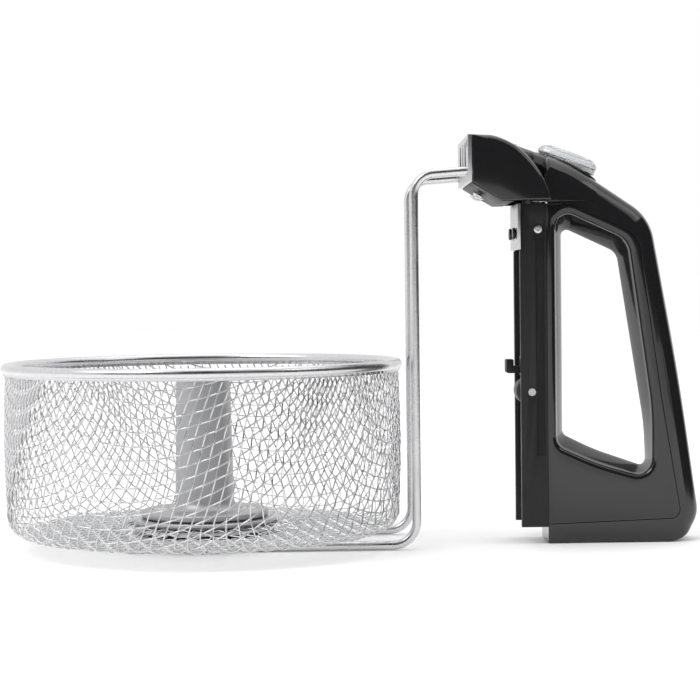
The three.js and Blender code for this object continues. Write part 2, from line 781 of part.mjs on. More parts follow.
function buttonBezel() {
  const ring = raised(ovalAt(bezelLength, bezelWidth), -9, bezelRise, 10);
  const hole = raised(buttonWay(), -10, 4, 10);
  const top = sideways(handleOutline(), -handleHalf, handleHalf).translate([0, 0, gap + 0.1]);
  return seated(ring.subtract(hole)).subtract(top);
}

// Domed oval button with its stem.
function releaseButton() {
  const foot = 0.6;
  const layers = 4;
  let dome = null;
  for (let i = 0; i < layers; i++) {
    const t = i / layers;
    const shrink = Math.sqrt(1 - t * t * 0.72);
    const oval = ovalAt(buttonLength * shrink, buttonWidth * shrink);
    const top = foot + (buttonRise * (i + 1)) / layers;
    const layer = raised(oval, foot - 0.2, top, 8);
    dome = dome ? dome.add(layer) : layer;
  }
  const stem = upright(stemRadius, -stemLength, foot, 16);
  return seated(dome.add(stem));
}

const stemLength = 12.8;
const armTop = 186;
const armTall = 4;
const armHalf = 3;
const shoulderZ = 116;
const springWall = 1.2;
const linkTravel = buttonTravel * Math.cos(rad(buttonTilt));

// Coil spring round the push pin, drawn as its sleeve.
function releaseSpring() {
  const inner = pinRadius + gap;
  const foot = guideTop + gap;
  const top = shoulderZ - gap;
  const ring = [[inner, foot], [inner + springWall, foot], [inner + springWall, top], [inner, top]];
  return turned(ring, 16).translate([linkX, 0, 0]);
}

// L-shaped link from under the button down the channel, ending in a push pin above the latch.
function releaseLink() {
  const arm = block([linkX - linkHalf, -armHalf, armTop - armTall], [buttonX + 1, armHalf, armTop]);
  const bar = block([linkX - linkHalf, -armHalf, shoulderZ], [linkX + linkHalf, armHalf, armTop - 1]);
  const pin = upright(pinRadius, latchZ + latchTall / 2 + gap, shoulderZ + 1, 16).translate([linkX, 0, 0]);
  return arm.add(bar).add(pin);
}

// Latch bolt with a ramp in its top that the pin runs down, drawing the bolt back.
function latchBolt() {
  const tip = channelLeft - latchReach;
  const heel = webLeft - 0.4;
  const half = latchTall / 2;
  const rampTop = latchZ + half;
  const rampHigh = linkX + pinRadius;
  const rampLow = rampTop - linkTravel - gap;
  const outline = rounded([
    [tip, latchZ - half, 1.2], [heel, latchZ - half, 0], [heel, rampTop, 0], [rampHigh, rampTop, 0],
    [rampHigh - latchTravel, rampLow, 0], [linkX - latchTravel - pinRadius - gap, rampLow, 0],
    [linkX - latchTravel - pinRadius - gap, rampTop - 0.01, 0], [tip, rampTop - 0.01, 0.8],
  ]);
  return sideways(outline, -latchHalf, latchHalf);
}

function guideRoller() {
  const bore = axleRadius + 0.1;
  const body = across(rollerRadius, rollerX, rollerZ, -rollerHalf, rollerHalf, 36);
  return body.subtract(across(bore, rollerX, rollerZ, -rollerHalf - 1, rollerHalf + 1, 24));
}

function rollerAxle() {
  return across(axleRadius, rollerX, rollerZ, -channelHalf + 0.5, channelHalf - 0.5, 24);
}

// ---------------------------------------------------------------- assembly
const widestBack = sideways(handleOutline(), -1, 1, 5).boundingBox().max[0];
const carrier = new THREE.Group();
carrier.add(
  named("rod_near", carrierRod(-rodSpacing / 2), brightSteel),
  named("rod_far", carrierRod(rodSpacing / 2), brightSteel),
  named("bearing_plate", bearingPlate(), satinSteel),
  named("thrust_washer", thrustWasher(), nylon),
  named("head_bracket", headBracket(), satinSteel),
  named("head_cover", headCover(), glossBlack),
  named("head_underside", headUnderside(), glossBlack),
  named("underside_screw_near", undersideScrew(-screwSpan), brightSteel),
  named("underside_screw_far", undersideScrew(screwSpan), brightSteel),
  named("channel_tab", channelTab(), satinSteel),
  named("tab_screw_near", tabScrew(-tabScrewY), darkSteel),
  named("tab_screw_far", tabScrew(tabScrewY), darkSteel),
  named("slide_channel", slideChannel(), mattBlack),
  named("side_screw_near", sideScrew(-1), brightSteel),
  named("side_screw_far", sideScrew(1), brightSteel),
  named("roller_axle", rollerAxle(), satinSteel),
  named("guide_roller", guideRoller(), nylon),
  named("handle_shell", handleShell(), glossBlack),
  named("side_panel_near", sidePanel(-1), glossBlack),
  named("side_panel_far", sidePanel(1), glossBlack),
  named("button_bezel", buttonBezel(), glossBlack),
  named("release_button", releaseButton(), clearPlastic),
  named("release_spring", releaseSpring(), brightSteel),
  named("release_link", releaseLink(), satinSteel),
  named("latch_bolt", latchBolt(), mattBlack),
);

const basket = new THREE.Group();
basket.add(
  named("mesh_bowl", meshBowl(), brightSteel),
  named("rim_ring", rimRing(), brightSteel),
  named("hub_casting", hubCasting(), castAluminium),
  named("drive_socket", driveSocket(), satinSteel),
  named("clamp_ring", clampRing(), satinSteel),
  named("base_washer", baseWasher(), satinSteel),
  named("retaining_ring", retainingRing(), darkSteel),
);
aroundRivets(rivet).forEach((body, i) => {
  basket.add(named(`hub_rivet_${i + 1}`, body, brightSteel));
});

const fryerBasket = new THREE.Group();
fryerBasket.add(carrier, basket);
fryerBasket.position.x = (rimRadius - widestBack) / 2;
export default fryerBasket;
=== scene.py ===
"""Lift-out basket of a rotating deep fryer: woven wire bowl, rod carrier, and D-shaped handle.

Sizes are written in millimetres in the basket's own frame (X = 0 on the basket's axis, Z = 0 on the
table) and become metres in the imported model's frame when a mesh is made.
"""

import json
import logging
import math
from dataclasses import dataclass, field
from enum import Enum
from typing import Callable, Iterable, Sequence

import bmesh
import bpy
import numpy as np
from mathutils import Matrix, Vector


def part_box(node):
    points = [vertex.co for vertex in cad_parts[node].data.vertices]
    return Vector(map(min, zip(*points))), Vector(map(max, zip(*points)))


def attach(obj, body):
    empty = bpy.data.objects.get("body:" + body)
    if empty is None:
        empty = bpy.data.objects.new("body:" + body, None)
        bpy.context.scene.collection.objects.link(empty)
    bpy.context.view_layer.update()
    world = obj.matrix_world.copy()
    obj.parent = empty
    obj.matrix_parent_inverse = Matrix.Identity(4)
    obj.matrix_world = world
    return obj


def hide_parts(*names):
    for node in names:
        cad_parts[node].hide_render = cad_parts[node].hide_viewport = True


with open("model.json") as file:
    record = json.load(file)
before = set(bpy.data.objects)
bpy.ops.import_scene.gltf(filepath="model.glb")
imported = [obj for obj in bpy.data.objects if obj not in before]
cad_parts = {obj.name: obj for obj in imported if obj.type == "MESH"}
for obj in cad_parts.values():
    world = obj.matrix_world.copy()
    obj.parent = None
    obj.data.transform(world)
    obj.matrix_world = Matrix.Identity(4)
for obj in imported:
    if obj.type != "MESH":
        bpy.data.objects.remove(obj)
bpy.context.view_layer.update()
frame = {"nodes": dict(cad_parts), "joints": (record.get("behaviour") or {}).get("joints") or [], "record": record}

logging.basicConfig(level=logging.INFO, format="%(message)s")
log = logging.getLogger("fryer_basket")

MM = 0.001
Corner = tuple[float, float, float]
Spot = tuple[float, float]
Triple = tuple[float, float, float]
Swell = Callable[[float, float, float], float]


def basket_axis() -> float:
    """X of the basket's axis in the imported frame, in metres."""
    spin = next(joint for joint in frame["joints"] if joint["name"] == "basket_spin")
    return float(spin["pos_m"][0])


AXIS_X = basket_axis()


def to_frame(x: float, y: float, z: float) -> Vector:
    """A point given in millimetres from the basket's axis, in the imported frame's metres."""
    return Vector((AXIS_X + x * MM, y * MM, z * MM))


# ---------------------------------------------------------------- outlines


def winding(points: Sequence[Sequence[float]]) -> float:
    """1 for an outline that runs counter-clockwise and -1 for a clockwise one."""
    count = len(points)
    area = sum(
        points[i][0] * points[(i + 1) % count][1] - points[(i + 1) % count][0] * points[i][1]
        for i in range(count)
    )
    return 1.0 if area > 0 else -1.0


def inset(corners: Sequence[Corner], distance: float) -> list[Corner]:
    """Moves every edge of a closed outline inwards and keeps its rounded corners concentric.

    Args:
        corners: (x, z, corner radius) in order round the outline.
        distance: how far the edges move; negative moves them outwards.

    Returns:
        The corners of the moved outline.
    """
    count = len(corners)
    turn = winding(corners)
    edges = []
    for i in range(count):
        start = Vector(corners[i][:2])
        along = (Vector(corners[(i + 1) % count][:2]) - start).normalized()
        inward = Vector((-along.y, along.x)) * turn * distance
        edges.append((start + inward, along))
    moved = []
    for i in range(count):
        foot_a, along_a = edges[i - 1]
        foot_b, along_b = edges[i]
        bend = along_a.x * along_b.y - along_a.y * along_b.x
        gap = foot_b - foot_a
        reach = (gap.x * along_b.y - gap.y * along_b.x) / bend
        spot = foot_a + along_a * reach
        radius = corners[i][2]
        change = -distance if turn * bend > 0 else distance
        moved.append((spot.x, spot.y, max(0.5, radius + change) if radius else 0.0))
    return moved


def rounded(corners: Sequence[Corner], arc_steps: int = 10, line_steps: int = 1) -> list[Spot]:
    """Points round a closed outline, with each corner drawn as an arc.

    Args:
        corners: (x, z, corner radius) in order round the outline.
        arc_steps: steps in each rounded corner.
        line_steps: steps in each straight stretch.

    Returns:
        The outline's points, without repeating the first one.
    """
    points: list[Spot] = []
    count = len(corners)
    for i, (x, z, radius) in enumerate(corners):
        corner = Vector((x, z))
        if not radius:
            stretch = [corner]
        else:
            back = (Vector(corners[i - 1][:2]) - corner).normalized()
            ahead = (Vector(corners[(i + 1) % count][:2]) - corner).normalized()
            half = math.acos(max(-1.0, min(1.0, back.dot(ahead)))) / 2
            centre = corner + (back + ahead).normalized() * (radius / math.sin(half))
            start = corner + back * (radius / math.tan(half)) - centre
            sweep = (math.pi - 2 * half) * (1 if back.x * ahead.y - back.y * ahead.x < 0 else -1)
            stretch = []
            for step in range(arc_steps + 1):
                angle = sweep * step / arc_steps
                cos, sin = math.cos(angle), math.sin(angle)
                turned = Vector((start.x * cos - start.y * sin, start.x * sin + start.y * cos))
                stretch.append(centre + turned)
        if points and line_steps > 1:
            last = Vector(points[-1])
            points += [tuple(last.lerp(stretch[0], n / line_steps)) for n in range(1, line_steps)]
        points += [tuple(spot) for spot in stretch]
    if line_steps > 1:
        last, first = Vector(points[-1]), Vector(points[0])
        points += [tuple(last.lerp(first, n / line_steps)) for n in range(1, line_steps)]
    return points


def outward_normals(points: Sequence[Spot]) -> list[Vector]:
    """Unit normals of a closed outline, pointing out of it."""
    count = len(points)
    turn = winding(points)
    normals = []
    for i in range(count):
        along = (Vector(points[(i + 1) % count]) - Vector(points[i - 1])).normalized()
        normals.append(Vector((along.y, -along.x)) * turn)
    return normals


def mirrored(count: int) -> list[tuple[int, int]]:
    """Station numbers up the near side (-1) and back down the far side (1)."""
    return [(n, -1) for n in range(count)] + [(n, 1) for n in reversed(range(count))]


def smooth_step(low: float, high: float, value: float) -> float:
    """0 below low, 1 above high, and a smooth rise between them."""
    t = max(0.0, min(1.0, (value - low) / (high - low)))
    return t * t * (3 - 2 * t)


# ---------------------------------------------------------------- meshes


def link(name: str, mesh: bpy.types.Mesh) -> bpy.types.Object:
    """Puts a mesh in the scene under a name."""
    piece = bpy.data.objects.new(name, mesh)
    bpy.context.scene.collection.objects.link(piece)
    return piece


def loft(
    name: str, loops: Sequence[Sequence[Triple]], close_ends: bool = True, ring: bool = False
) -> bpy.types.Object:
    """Joins closed loops of equal length into a skin.

    Args:
        name: the new object's name.
        loops: points in millimetres in the basket's frame, loop by loop.
        close_ends: whether the first and last loops get a face each.
        ring: whether the last loop joins the first one.

    Returns:
        The new object, its faces pointing out.
    """
    shape = bmesh.new()
    rows = [[shape.verts.new(to_frame(*point)) for point in loop] for loop in loops]
    pairs = list(zip(rows, rows[1:])) + ([(rows[-1], rows[0])] if ring else [])
    for row, following in pairs:
        for i in range(len(row)):
            j = (i + 1) % len(row)
            shape.faces.new((row[i], row[j], following[j], following[i]))
    if close_ends and not ring:
        shape.faces.new(list(reversed(rows[0])))
        shape.faces.new(rows[-1])
    bmesh.ops.remove_doubles(shape, verts=shape.verts, dist=0.00001)
    bmesh.ops.recalc_face_normals(shape, faces=shape.faces)
    mesh = bpy.data.meshes.new(name)
    shape.to_mesh(mesh)
    shape.free()
    return link(name, mesh)


def lathe(
    name: str, profile: Sequence[Spot], segments: int, swell: Swell | None = None
) -> bpy.types.Object:
    """A ring or a solid turned about the basket's axis.

    Args:
        name: the new object's name.
        profile: (radius, z) round a closed section; a solid one starts and ends on the axis.
        segments: steps round the axis.
        swell: extra radius as a function of angle, radius and z.

    Returns:
        The new object.
    """
    extra = swell or (lambda angle, radius, z: 0.0)
    loops = []
    for n in range(segments):
        angle = 2 * math.pi * n / segments
        section = [(r + extra(angle, r, z), z) for r, z in profile]
        loops.append([(r * math.cos(angle), r * math.sin(angle), z) for r, z in section])
    return loft(name, loops, close_ends=False, ring=True)


def arc(centre: Spot, radius: float, start: float, end: float, steps: int) -> list[Spot]:
    """Points on an arc, with its angles in degrees."""
    return [
        (
            centre[0] + radius * math.cos(math.radians(start + (end - start) * n / steps)),
            centre[1] + radius * math.sin(math.radians(start + (end - start) * n / steps)),
        )
        for n in range(steps + 1)
    ]


def block(name: str, low: Triple, high: Triple) -> bpy.types.Object:
    """A plain box between two corners, used to cut other pieces."""
    (x0, y0, z0), (x1, y1, z1) = low, high
    loops = [[(x, y0, z0), (x, y1, z0), (x, y1, z1), (x, y0, z1)] for x in (x0, x1)]
    return loft(name, loops)


def drum(name: str, centre: Triple, radius: float, half: float, steps: int = 96) -> bpy.types.Object:
    """A cylinder along Y, used to cut other pieces."""
    x, y, z = centre
    ring = arc((x, z), radius, 0, 360 - 360 / steps, steps - 1)
    return loft(name, [[(px, y + side * half, pz) for px, pz in ring] for side in (-1, 1)])


def carve(
    piece: bpy.types.Object, tools: Iterable[bpy.types.Object], how: str = "DIFFERENCE"
) -> bpy.types.Object:
    """Cuts tools out of a piece, or joins them to it, and removes the tools.

    Args:
        piece: the object that is changed.
        tools: closed meshes.
        how: the boolean's operation.

    Returns:
        The same piece, with a plain mesh.
    """
    for tool in list(tools):
        step = piece.modifiers.new("cut", "BOOLEAN")
        step.operation = how
        step.solver = "MANIFOLD"
        step.object = tool
        bake(piece)
        bpy.data.objects.remove(tool)
    return piece


def bake(piece: bpy.types.Object) -> bpy.types.Object:
    """Turns a piece's modifiers into its plain mesh."""
    depsgraph = bpy.context.evaluated_depsgraph_get()
    mesh = bpy.data.meshes.new_from_object(piece.evaluated_get(depsgraph))
    old = piece.data
    piece.modifiers.clear()
    piece.data = mesh
    mesh.name = piece.name
    if old.users == 0:
        bpy.data.meshes.remove(old)
    return piece


def soften(
    piece: bpy.types.Object, width: float = 0.0, angle: float = 35.0, segments: int = 2
) -> bpy.types.Object:
    """Rounds a piece's sharp edges a little and shades the rest smooth.

    Args:
        piece: the object that is changed.
        width: bevel width in millimetres; 0 leaves the edges sharp.
        angle: edges sharper than this, in degrees, are bevelled or stay sharp.
        segments: steps in the bevel.

    Returns:
        The same piece.
    """
    if width:
        bevel = piece.modifiers.new("bevel", "BEVEL")
        bevel.width = width * MM
        bevel.segments = segments
        bevel.limit_method = "ANGLE"
        bevel.angle_limit = math.radians(angle)
        bevel.harden_normals = False
        bake(piece)
    mesh = piece.data
    mesh.polygons.foreach_set("use_smooth", [True] * len(mesh.polygons))
    mesh.set_sharp_from_angle(angle=math.radians(angle))
    return piece


def refined(node: str, width: float, angle: float = 35.0, segments: int = 2) -> bpy.types.Object:
    """A copy of a CAD node with its flat faces merged and its edges rounded."""
    source = frame["nodes"][node].data
    shape = bmesh.new()
    shape.from_mesh(source)
    bmesh.ops.remove_doubles(shape, verts=shape.verts, dist=0.00001)
    bmesh.ops.dissolve_limit(
        shape, angle_limit=math.radians(1.0), verts=shape.verts, edges=shape.edges, use_dissolve_boundaries=False
    )
    mesh = bpy.data.meshes.new(node + "_finished")
    shape.to_mesh(mesh)
    shape.free()
    mesh.materials.clear()
    return soften(link(node + "_finished", mesh), width, angle, segments)


# ---------------------------------------------------------------- finishes


class Slot(Enum):
    """The record's material slots."""

    BRIGHT_STEEL = "bright_steel"
    SATIN_STEEL = "satin_steel"
    DARK_STEEL = "dark_steel"
    CAST_ALUMINIUM = "cast_aluminium"
    GLOSS_BLACK = "gloss_black"
    MATT_BLACK = "matt_black"
    BLACK_NYLON = "black_nylon"
    CLEAR_PLASTIC = "clear_plastic"


NOISE_SPREAD = (0.3, 0.7)  # the part of a noise's range that carries the change


@dataclass(frozen=True)
class Finish:
    """One surface finish: a base colour with fine variation, gloss variation and a fine relief."""

    slot: Slot
    colour: Triple
    metallic: float
    roughness: tuple[float, float]
    grain_scale: float
    relief: float
    stretch: Triple = (1.0, 1.0, 1.0)
    mottle: float = 0.0
    coat: float = 0.0
    transmission: float = 0.0
    specular: float = 0.5
    ior: float = 1.5

    def build(self) -> bpy.types.Material:
        """Makes the material's nodes on Object coordinates."""
        material = bpy.data.materials.new(self.slot.value)
        material.use_nodes = True
        tree = material.node_tree
        shader = tree.nodes["Principled BSDF"]
        for entry, value in (
            ("Metallic", self.metallic), ("Coat Weight", self.coat), ("Coat Roughness", 0.04),
            ("Transmission Weight", self.transmission), ("Specular IOR Level", self.specular),
            ("IOR", self.ior),
        ):
            shader.inputs[entry].default_value = value
        place = tree.nodes.new("ShaderNodeTexCoord")
        turn = tree.nodes.new("ShaderNodeMapping")
        turn.inputs["Scale"].default_value = self.stretch
        tree.links.new(place.outputs["Object"], turn.inputs["Vector"])
        grain = self.noise(tree, turn, self.grain_scale, 4)
        cloud = self.noise(tree, turn, self.grain_scale * 0.06, 3)
        gloss = tree.nodes.new("ShaderNodeMapRange")
        ends = (*NOISE_SPREAD, *self.roughness)
        for entry, value in zip(("From Min", "From Max", "To Min", "To Max"), ends):
            gloss.inputs[entry].default_value = value
        tree.links.new(cloud.outputs["Fac"], gloss.inputs["Value"])
        tree.links.new(gloss.outputs["Result"], shader.inputs["Roughness"])
        tint = tree.nodes.new("ShaderNodeValToRGB")
        for stop, shade in enumerate((1 - self.mottle, 1.0)):
            tint.color_ramp.elements[stop].position = NOISE_SPREAD[stop]
            tint.color_ramp.elements[stop].color = (*(c * shade for c in self.colour), 1)
        tree.links.new(grain.outputs["Fac"], tint.inputs["Fac"])
        tree.links.new(tint.outputs["Color"], shader.inputs["Base Color"])
        bump = tree.nodes.new("ShaderNodeBump")
        bump.inputs["Strength"].default_value = self.relief
        bump.inputs["Distance"].default_value = 0.0002
        tree.links.new(grain.outputs["Fac"], bump.inputs["Height"])
        tree.links.new(bump.outputs["Normal"], shader.inputs["Normal"])
        return material

    @staticmethod
    def noise(tree: bpy.types.NodeTree, turn: bpy.types.Node, scale: float, detail: float) -> bpy.types.Node:
        """A noise texture on the turned coordinates."""
        node = tree.nodes.new("ShaderNodeTexNoise")
        node.inputs["Scale"].default_value = scale
        node.inputs["Detail"].default_value = detail
        tree.links.new(turn.outputs["Vector"], node.inputs["Vector"])
        return node


FINISHES = (
    Finish(Slot.BRIGHT_STEEL, (0.70, 0.70, 0.71), 1.0, (0.22, 0.34), 900, 0.10, mottle=0.12),
    Finish(Slot.SATIN_STEEL, (0.60, 0.60, 0.61), 1.0, (0.28, 0.42), 1400, 0.14, stretch=(1, 0.08, 1), mottle=0.14),
    Finish(Slot.DARK_STEEL, (0.045, 0.045, 0.05), 0.9, (0.30, 0.45), 900, 0.10, mottle=0.25),
    Finish(Slot.CAST_ALUMINIUM, (0.50, 0.50, 0.51), 0.85, (0.40, 0.52), 2600, 0.30, mottle=0.16),
    Finish(Slot.GLOSS_BLACK, (0.012, 0.012, 0.013), 0.0, (0.07, 0.13), 700, 0.015, mottle=0.2, coat=0.25),
    Finish(Slot.MATT_BLACK, (0.014, 0.014, 0.015), 0.0, (0.42, 0.55), 1800, 0.25, mottle=0.3, specular=0.3),
    Finish(Slot.BLACK_NYLON, (0.025, 0.025, 0.027), 0.0, (0.40, 0.55), 1500, 0.15, mottle=0.2),
    Finish(Slot.CLEAR_PLASTIC, (0.70, 0.71, 0.73), 0.0, (0.03, 0.07), 500, 0.02, mottle=0.05, coat=0.6,
           transmission=0.8, ior=1.46),
)


class Paint:
    """Builds each finish once and puts it on pieces and CAD nodes."""

    def __init__(self) -> None:
        self.materials = {finish.slot: finish.build() for finish in FINISHES}

    def on(self, piece: bpy.types.Object, slot: Slot) -> bpy.types.Object:
        """Gives a piece one finish all over."""
        piece.data.materials.clear()
        piece.data.materials.append(self.materials[slot])
        return piece

    def on_nodes(self) -> None:
        """Gives every CAD node the finish that the record names for it."""
        for row in frame["record"]["subparts"]:
            node = frame["nodes"][row["node"]]
            for spot in node.material_slots:
                spot.material = self.materials[Slot(row["material_slot"])]
            if not node.material_slots:
                node.data.materials.append(self.materials[Slot(row["material_slot"])])

    def hand_over(self, piece: bpy.types.Object, slot: Slot, body: str, *nodes: str) -> bpy.types.Object:
        """Finishes a piece, lets it ride on its body and stand for its CAD nodes."""
        self.on(piece, slot)
        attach(piece, body)
        if nodes:
            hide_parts(*nodes)
        log.info("%s: %d faces", piece.name, len(piece.data.polygons))
        return piece


# ---------------------------------------------------------------- wires


class WireTree:
    """A Geometry Nodes tree that turns lines into round wire."""

    def __init__(self) -> None:
        self.tree = bpy.data.node_groups.new("wire_along_lines", "GeometryNodeTree")
        face = self.tree.interface
        face.new_socket("Geometry", in_out="INPUT", socket_type="NodeSocketGeometry")
        self.radius = face.new_socket("Wire Radius", in_out="INPUT", socket_type="NodeSocketFloat")
        self.sides = face.new_socket("Wire Sides", in_out="INPUT", socket_type="NodeSocketInt")
        self.metal = face.new_socket("Finish", in_out="INPUT", socket_type="NodeSocketMaterial")
        face.new_socket("Geometry", in_out="OUTPUT", socket_type="NodeSocketGeometry")
        nodes, links = self.tree.nodes, self.tree.links
        given = nodes.new("NodeGroupInput")
        lines = nodes.new("GeometryNodeMeshToCurve")
        section = nodes.new("GeometryNodeCurvePrimitiveCircle")
        tube = nodes.new("GeometryNodeCurveToMesh")
        tube.inputs["Fill Caps"].default_value = True
        smooth = nodes.new("GeometryNodeSetShadeSmooth")
        real = nodes.new("GeometryNodeRealizeInstances")
        dress = nodes.new("GeometryNodeSetMaterial")
        result = nodes.new("NodeGroupOutput")
        for source, output, target, entry in (
            (given, "Geometry", lines, "Mesh"),
            (given, "Wire Radius", section, "Radius"),
            (given, "Wire Sides", section, "Resolution"),
            (lines, "Curve", tube, "Curve"),
            (section, "Curve", tube, "Profile Curve"),
            (tube, "Mesh", smooth, "Geometry"),
            (smooth, "Geometry", real, "Geometry"),
            (real, "Geometry", dress, "Geometry"),
            (given, "Finish", dress, "Material"),
            (dress, "Geometry", result, "Geometry"),
        ):
            links.new(source.outputs[output], target.inputs[entry])

    def draw(self, name: str, lines: Sequence[Sequence[Vector]], radius: float, sides: int,
             metal: bpy.types.Material) -> bpy.types.Object:
        """Makes one mesh of round wire along many lines.

        Args:
            name: the new object's name.
            lines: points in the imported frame, line by line.
            radius: the wire's radius in millimetres.
            sides: sides of the wire's section.
            metal: the wire's material.

        Returns:
            The new object with a plain mesh.
        """
        points = [point for line in lines for point in line]
        edges = []
        first = 0
        for line in lines:
            edges += [(first + n, first + n + 1) for n in range(len(line) - 1)]
            first += len(line)
        mesh = bpy.data.meshes.new(name)
        mesh.from_pydata(points, edges, [])
        piece = link(name, mesh)
        nodes = piece.modifiers.new("wire", "NODES")
        nodes.node_group = self.tree
        nodes[self.radius.identifier] = radius * MM
        nodes[self.sides.identifier] = sides
        nodes[self.metal.identifier] = metal
        return bake(piece)


# ---------------------------------------------------------------- basket


@dataclass
class WovenBowl:
    """The bowl of woven wire: a flat square weave pressed into a round pan.

    Off the weave's two directions the square openings shear into diamonds as they climb the wall.
    """

    row_pitch: float = 6.7
    riser_pitch: float = 5.7
    wire_radius: float = 0.4
    weave_depth: float = 0.45
    turn: float = 64.0  # degrees from +X to the weave's first direction
    twist: float = 0.42  # how far the wall is twisted, as a share of its height
    even_low: float = 0.15  # how far the drape leans from a sheared net towards an even one at the foot
    even_high: float = 0.55  # and at the rim
    even_rise: float = 70.0
    foot_radius: float = 101.0  # where the net stops being flat
    floor: float = 8.8
    boss_rise: float = 2.8
    boss_radius: float = 40.0
    boss_ramp: float = 8.0
    corner: float = 9.2
    wall_radius: float = 102.8
    bulge: float = 1.0
    wire_top: float = 92.6
    hub_hole: float = 18.5
    steps_per_pitch: int = 4
    section: list[Triple] = field(init=False)

    def __post_init__(self) -> None:
        """Works out the pan's section: distance along it, radius and height."""
        flat_end = self.wall_radius - self.corner
        ramp_end = self.boss_radius + self.boss_ramp
        boss_top = self.floor + self.boss_rise
        rows = [(0.0, 0.0, boss_top), (self.boss_radius, self.boss_radius, boss_top)]
        rows += [(ramp_end, ramp_end, self.floor), (flat_end, flat_end, self.floor)]
        for angle in range(10, 91, 10):
            turned = math.radians(angle)
            rows.append((
                flat_end + self.corner * turned,
                flat_end + self.corner * math.sin(turned),
                self.floor + self.corner * (1 - math.cos(turned)),
            ))
        reach, _, foot = rows[-1]
        rise = self.wire_top - foot
        for n in range(1, 13):
            share = n / 12
            radius = self.wall_radius + self.bulge * math.sin(math.pi * share)
            rows.append((reach + rise * share, radius, foot + rise * share))
        self.section = rows

    def shear_reach(self, distance: float) -> float:
        """Sideways distance that a wire's own direction has gained on the wall."""
        share = min(1.0, distance / self.foot_radius)
        return self.foot_radius / 2 * (math.asin(share) + share * math.sqrt(1 - share * share))

    def shear_rise(self, distance: float) -> float:
        """Height that a wire's own direction has gained on the wall."""
        if distance < self.foot_radius:
            return distance * distance / (2 * self.foot_radius)
        return distance - self.foot_radius / 2

    def drape(self, p: float, q: float) -> tuple[float, float]:
        """Where a point of the flat weave goes on the pan.

        Args:
            p: millimetres along the weave's first direction.
            q: millimetres along the second one.

        Returns:
            The angle about the axis and the distance along the pan's section.
        """
        flat = math.hypot(p, q)
        even_angle = math.atan2(abs(q), abs(p))
        if flat <= self.foot_radius:
            angle, height = even_angle, flat - self.foot_radius
        else:
            sideways = self.shear_reach(abs(q)) - self.shear_reach(abs(p))
            sideways += self.foot_radius * math.pi / 4
            height = self.shear_rise(abs(p)) + self.shear_rise(abs(q)) - self.foot_radius / 2
            climbed = smooth_step(0, self.even_rise, height)
            share = self.even_low + (self.even_high - self.even_low) * climbed
            angle = (1 - share) * sideways / self.foot_radius + share * even_angle
            height = (1 - share) * height + share * (flat - self.foot_radius)
        if p < 0:
            angle = math.pi - angle
        if q < 0:
            angle = -angle
        angle += math.radians(self.turn) + self.twist * max(0.0, height) / self.foot_radius
        return angle, self.foot_radius + height

    def wires(self, second: bool) -> list[list[Vector]]:
        """The centre lines of all the wires of one direction."""
        reach, radii, heights = zip(*self.section)
        limit = reach[-1]
        pitch = self.row_pitch if second else self.riser_pitch
        crossing = self.riser_pitch if second else self.row_pitch
        half_count = int(1.25 * limit / pitch) + 1
        step = crossing / self.steps_per_pitch
        count = int(1.25 * limit / step)
        lines: list[list[Vector]] = []
        for number in range(-half_count, half_count):
            across = (number + 0.5) * pitch
            line: list[Vector] = []
            for n in range(-count, count + 1):
                along = n * step
                p, q = (across, along) if second else (along, across)
                angle, distance = self.drape(p, q)
                if distance > limit or distance < self.hub_hole:
                    lines.append(line)
                    line = []
                    continue
                radius, height = (float(np.interp(distance, reach, row)) for row in (radii, heights))
                ahead, climb = (
                    float(np.interp(distance + 1, reach, row)) - float(np.interp(distance - 1, reach, row))
                    for row in (radii, heights)
                )
                size = math.hypot(ahead, climb) or 1.0
                sway = math.cos(math.pi * (along / crossing - 0.5)) * (1 if number % 2 else -1)
                sway *= self.weave_depth * (1 if second else -1)
                radius += sway * climb / size
                height -= sway * ahead / size
                line.append(to_frame(radius * math.cos(angle), radius * math.sin(angle), height))
            lines.append(line)
        return [line for line in lines if len(line) > 3]

    def make(self, paint: Paint, wire: WireTree) -> None:
        """Draws both directions of wire."""
        metal = paint.materials[Slot.BRIGHT_STEEL]
        warp = wire.draw("bowl_warp_wires", self.wires(False), self.wire_radius, 6, metal)
        weft = wire.draw("bowl_weft_wires", self.wires(True), self.wire_radius, 6, metal)
        paint.hand_over(warp, Slot.BRIGHT_STEEL, "basket", "mesh_bowl")
        paint.hand_over(weft, Slot.BRIGHT_STEEL, "basket", "mesh_bowl")


@dataclass
class Rim:
    """The rolled rim with the strip that is pressed over the wires' ends."""

    outer: float = 105.5
    top: float = 98.0
    bead: float = 2.8
    skirt_outer: float = 104.3
    skirt_inner: float = 102.7
    skirt_foot: float = 91.8
    press_count: int = 150
    press_depth: float = 0.35

    def press(self, angle: float, radius: float, z: float) -> float:
        """The small bumps where the strip lies over the wires."""
        strip = 1 - smooth_step(self.skirt_foot + 0.8, self.skirt_foot + 2.2, z)
        return -self.press_depth * strip * (0.5 + 0.5 * math.cos(self.press_count * angle))

    def make(self, paint: Paint) -> None:
        """Turns the rim and presses its lower strip."""
        centre = (self.outer - self.bead, self.top - self.bead)
        profile = [(self.skirt_outer, self.skirt_foot)]
        profile += [(self.skirt_outer, self.skirt_foot + rise) for rise in (0.5, 1.0, 1.5)]
        profile.append((self.skirt_outer - 0.1, self.skirt_foot + 2.0))
        profile += arc(centre, self.bead, -48, 205, 26)
        profile += [(self.skirt_inner, self.top - 2 * self.bead + 0.6), (self.skirt_inner, self.skirt_foot)]
        ring = lathe("rim_rolled", profile, 600, self.press)
        paint.hand_over(soften(ring, angle=50), Slot.BRIGHT_STEEL, "basket", "rim_ring")


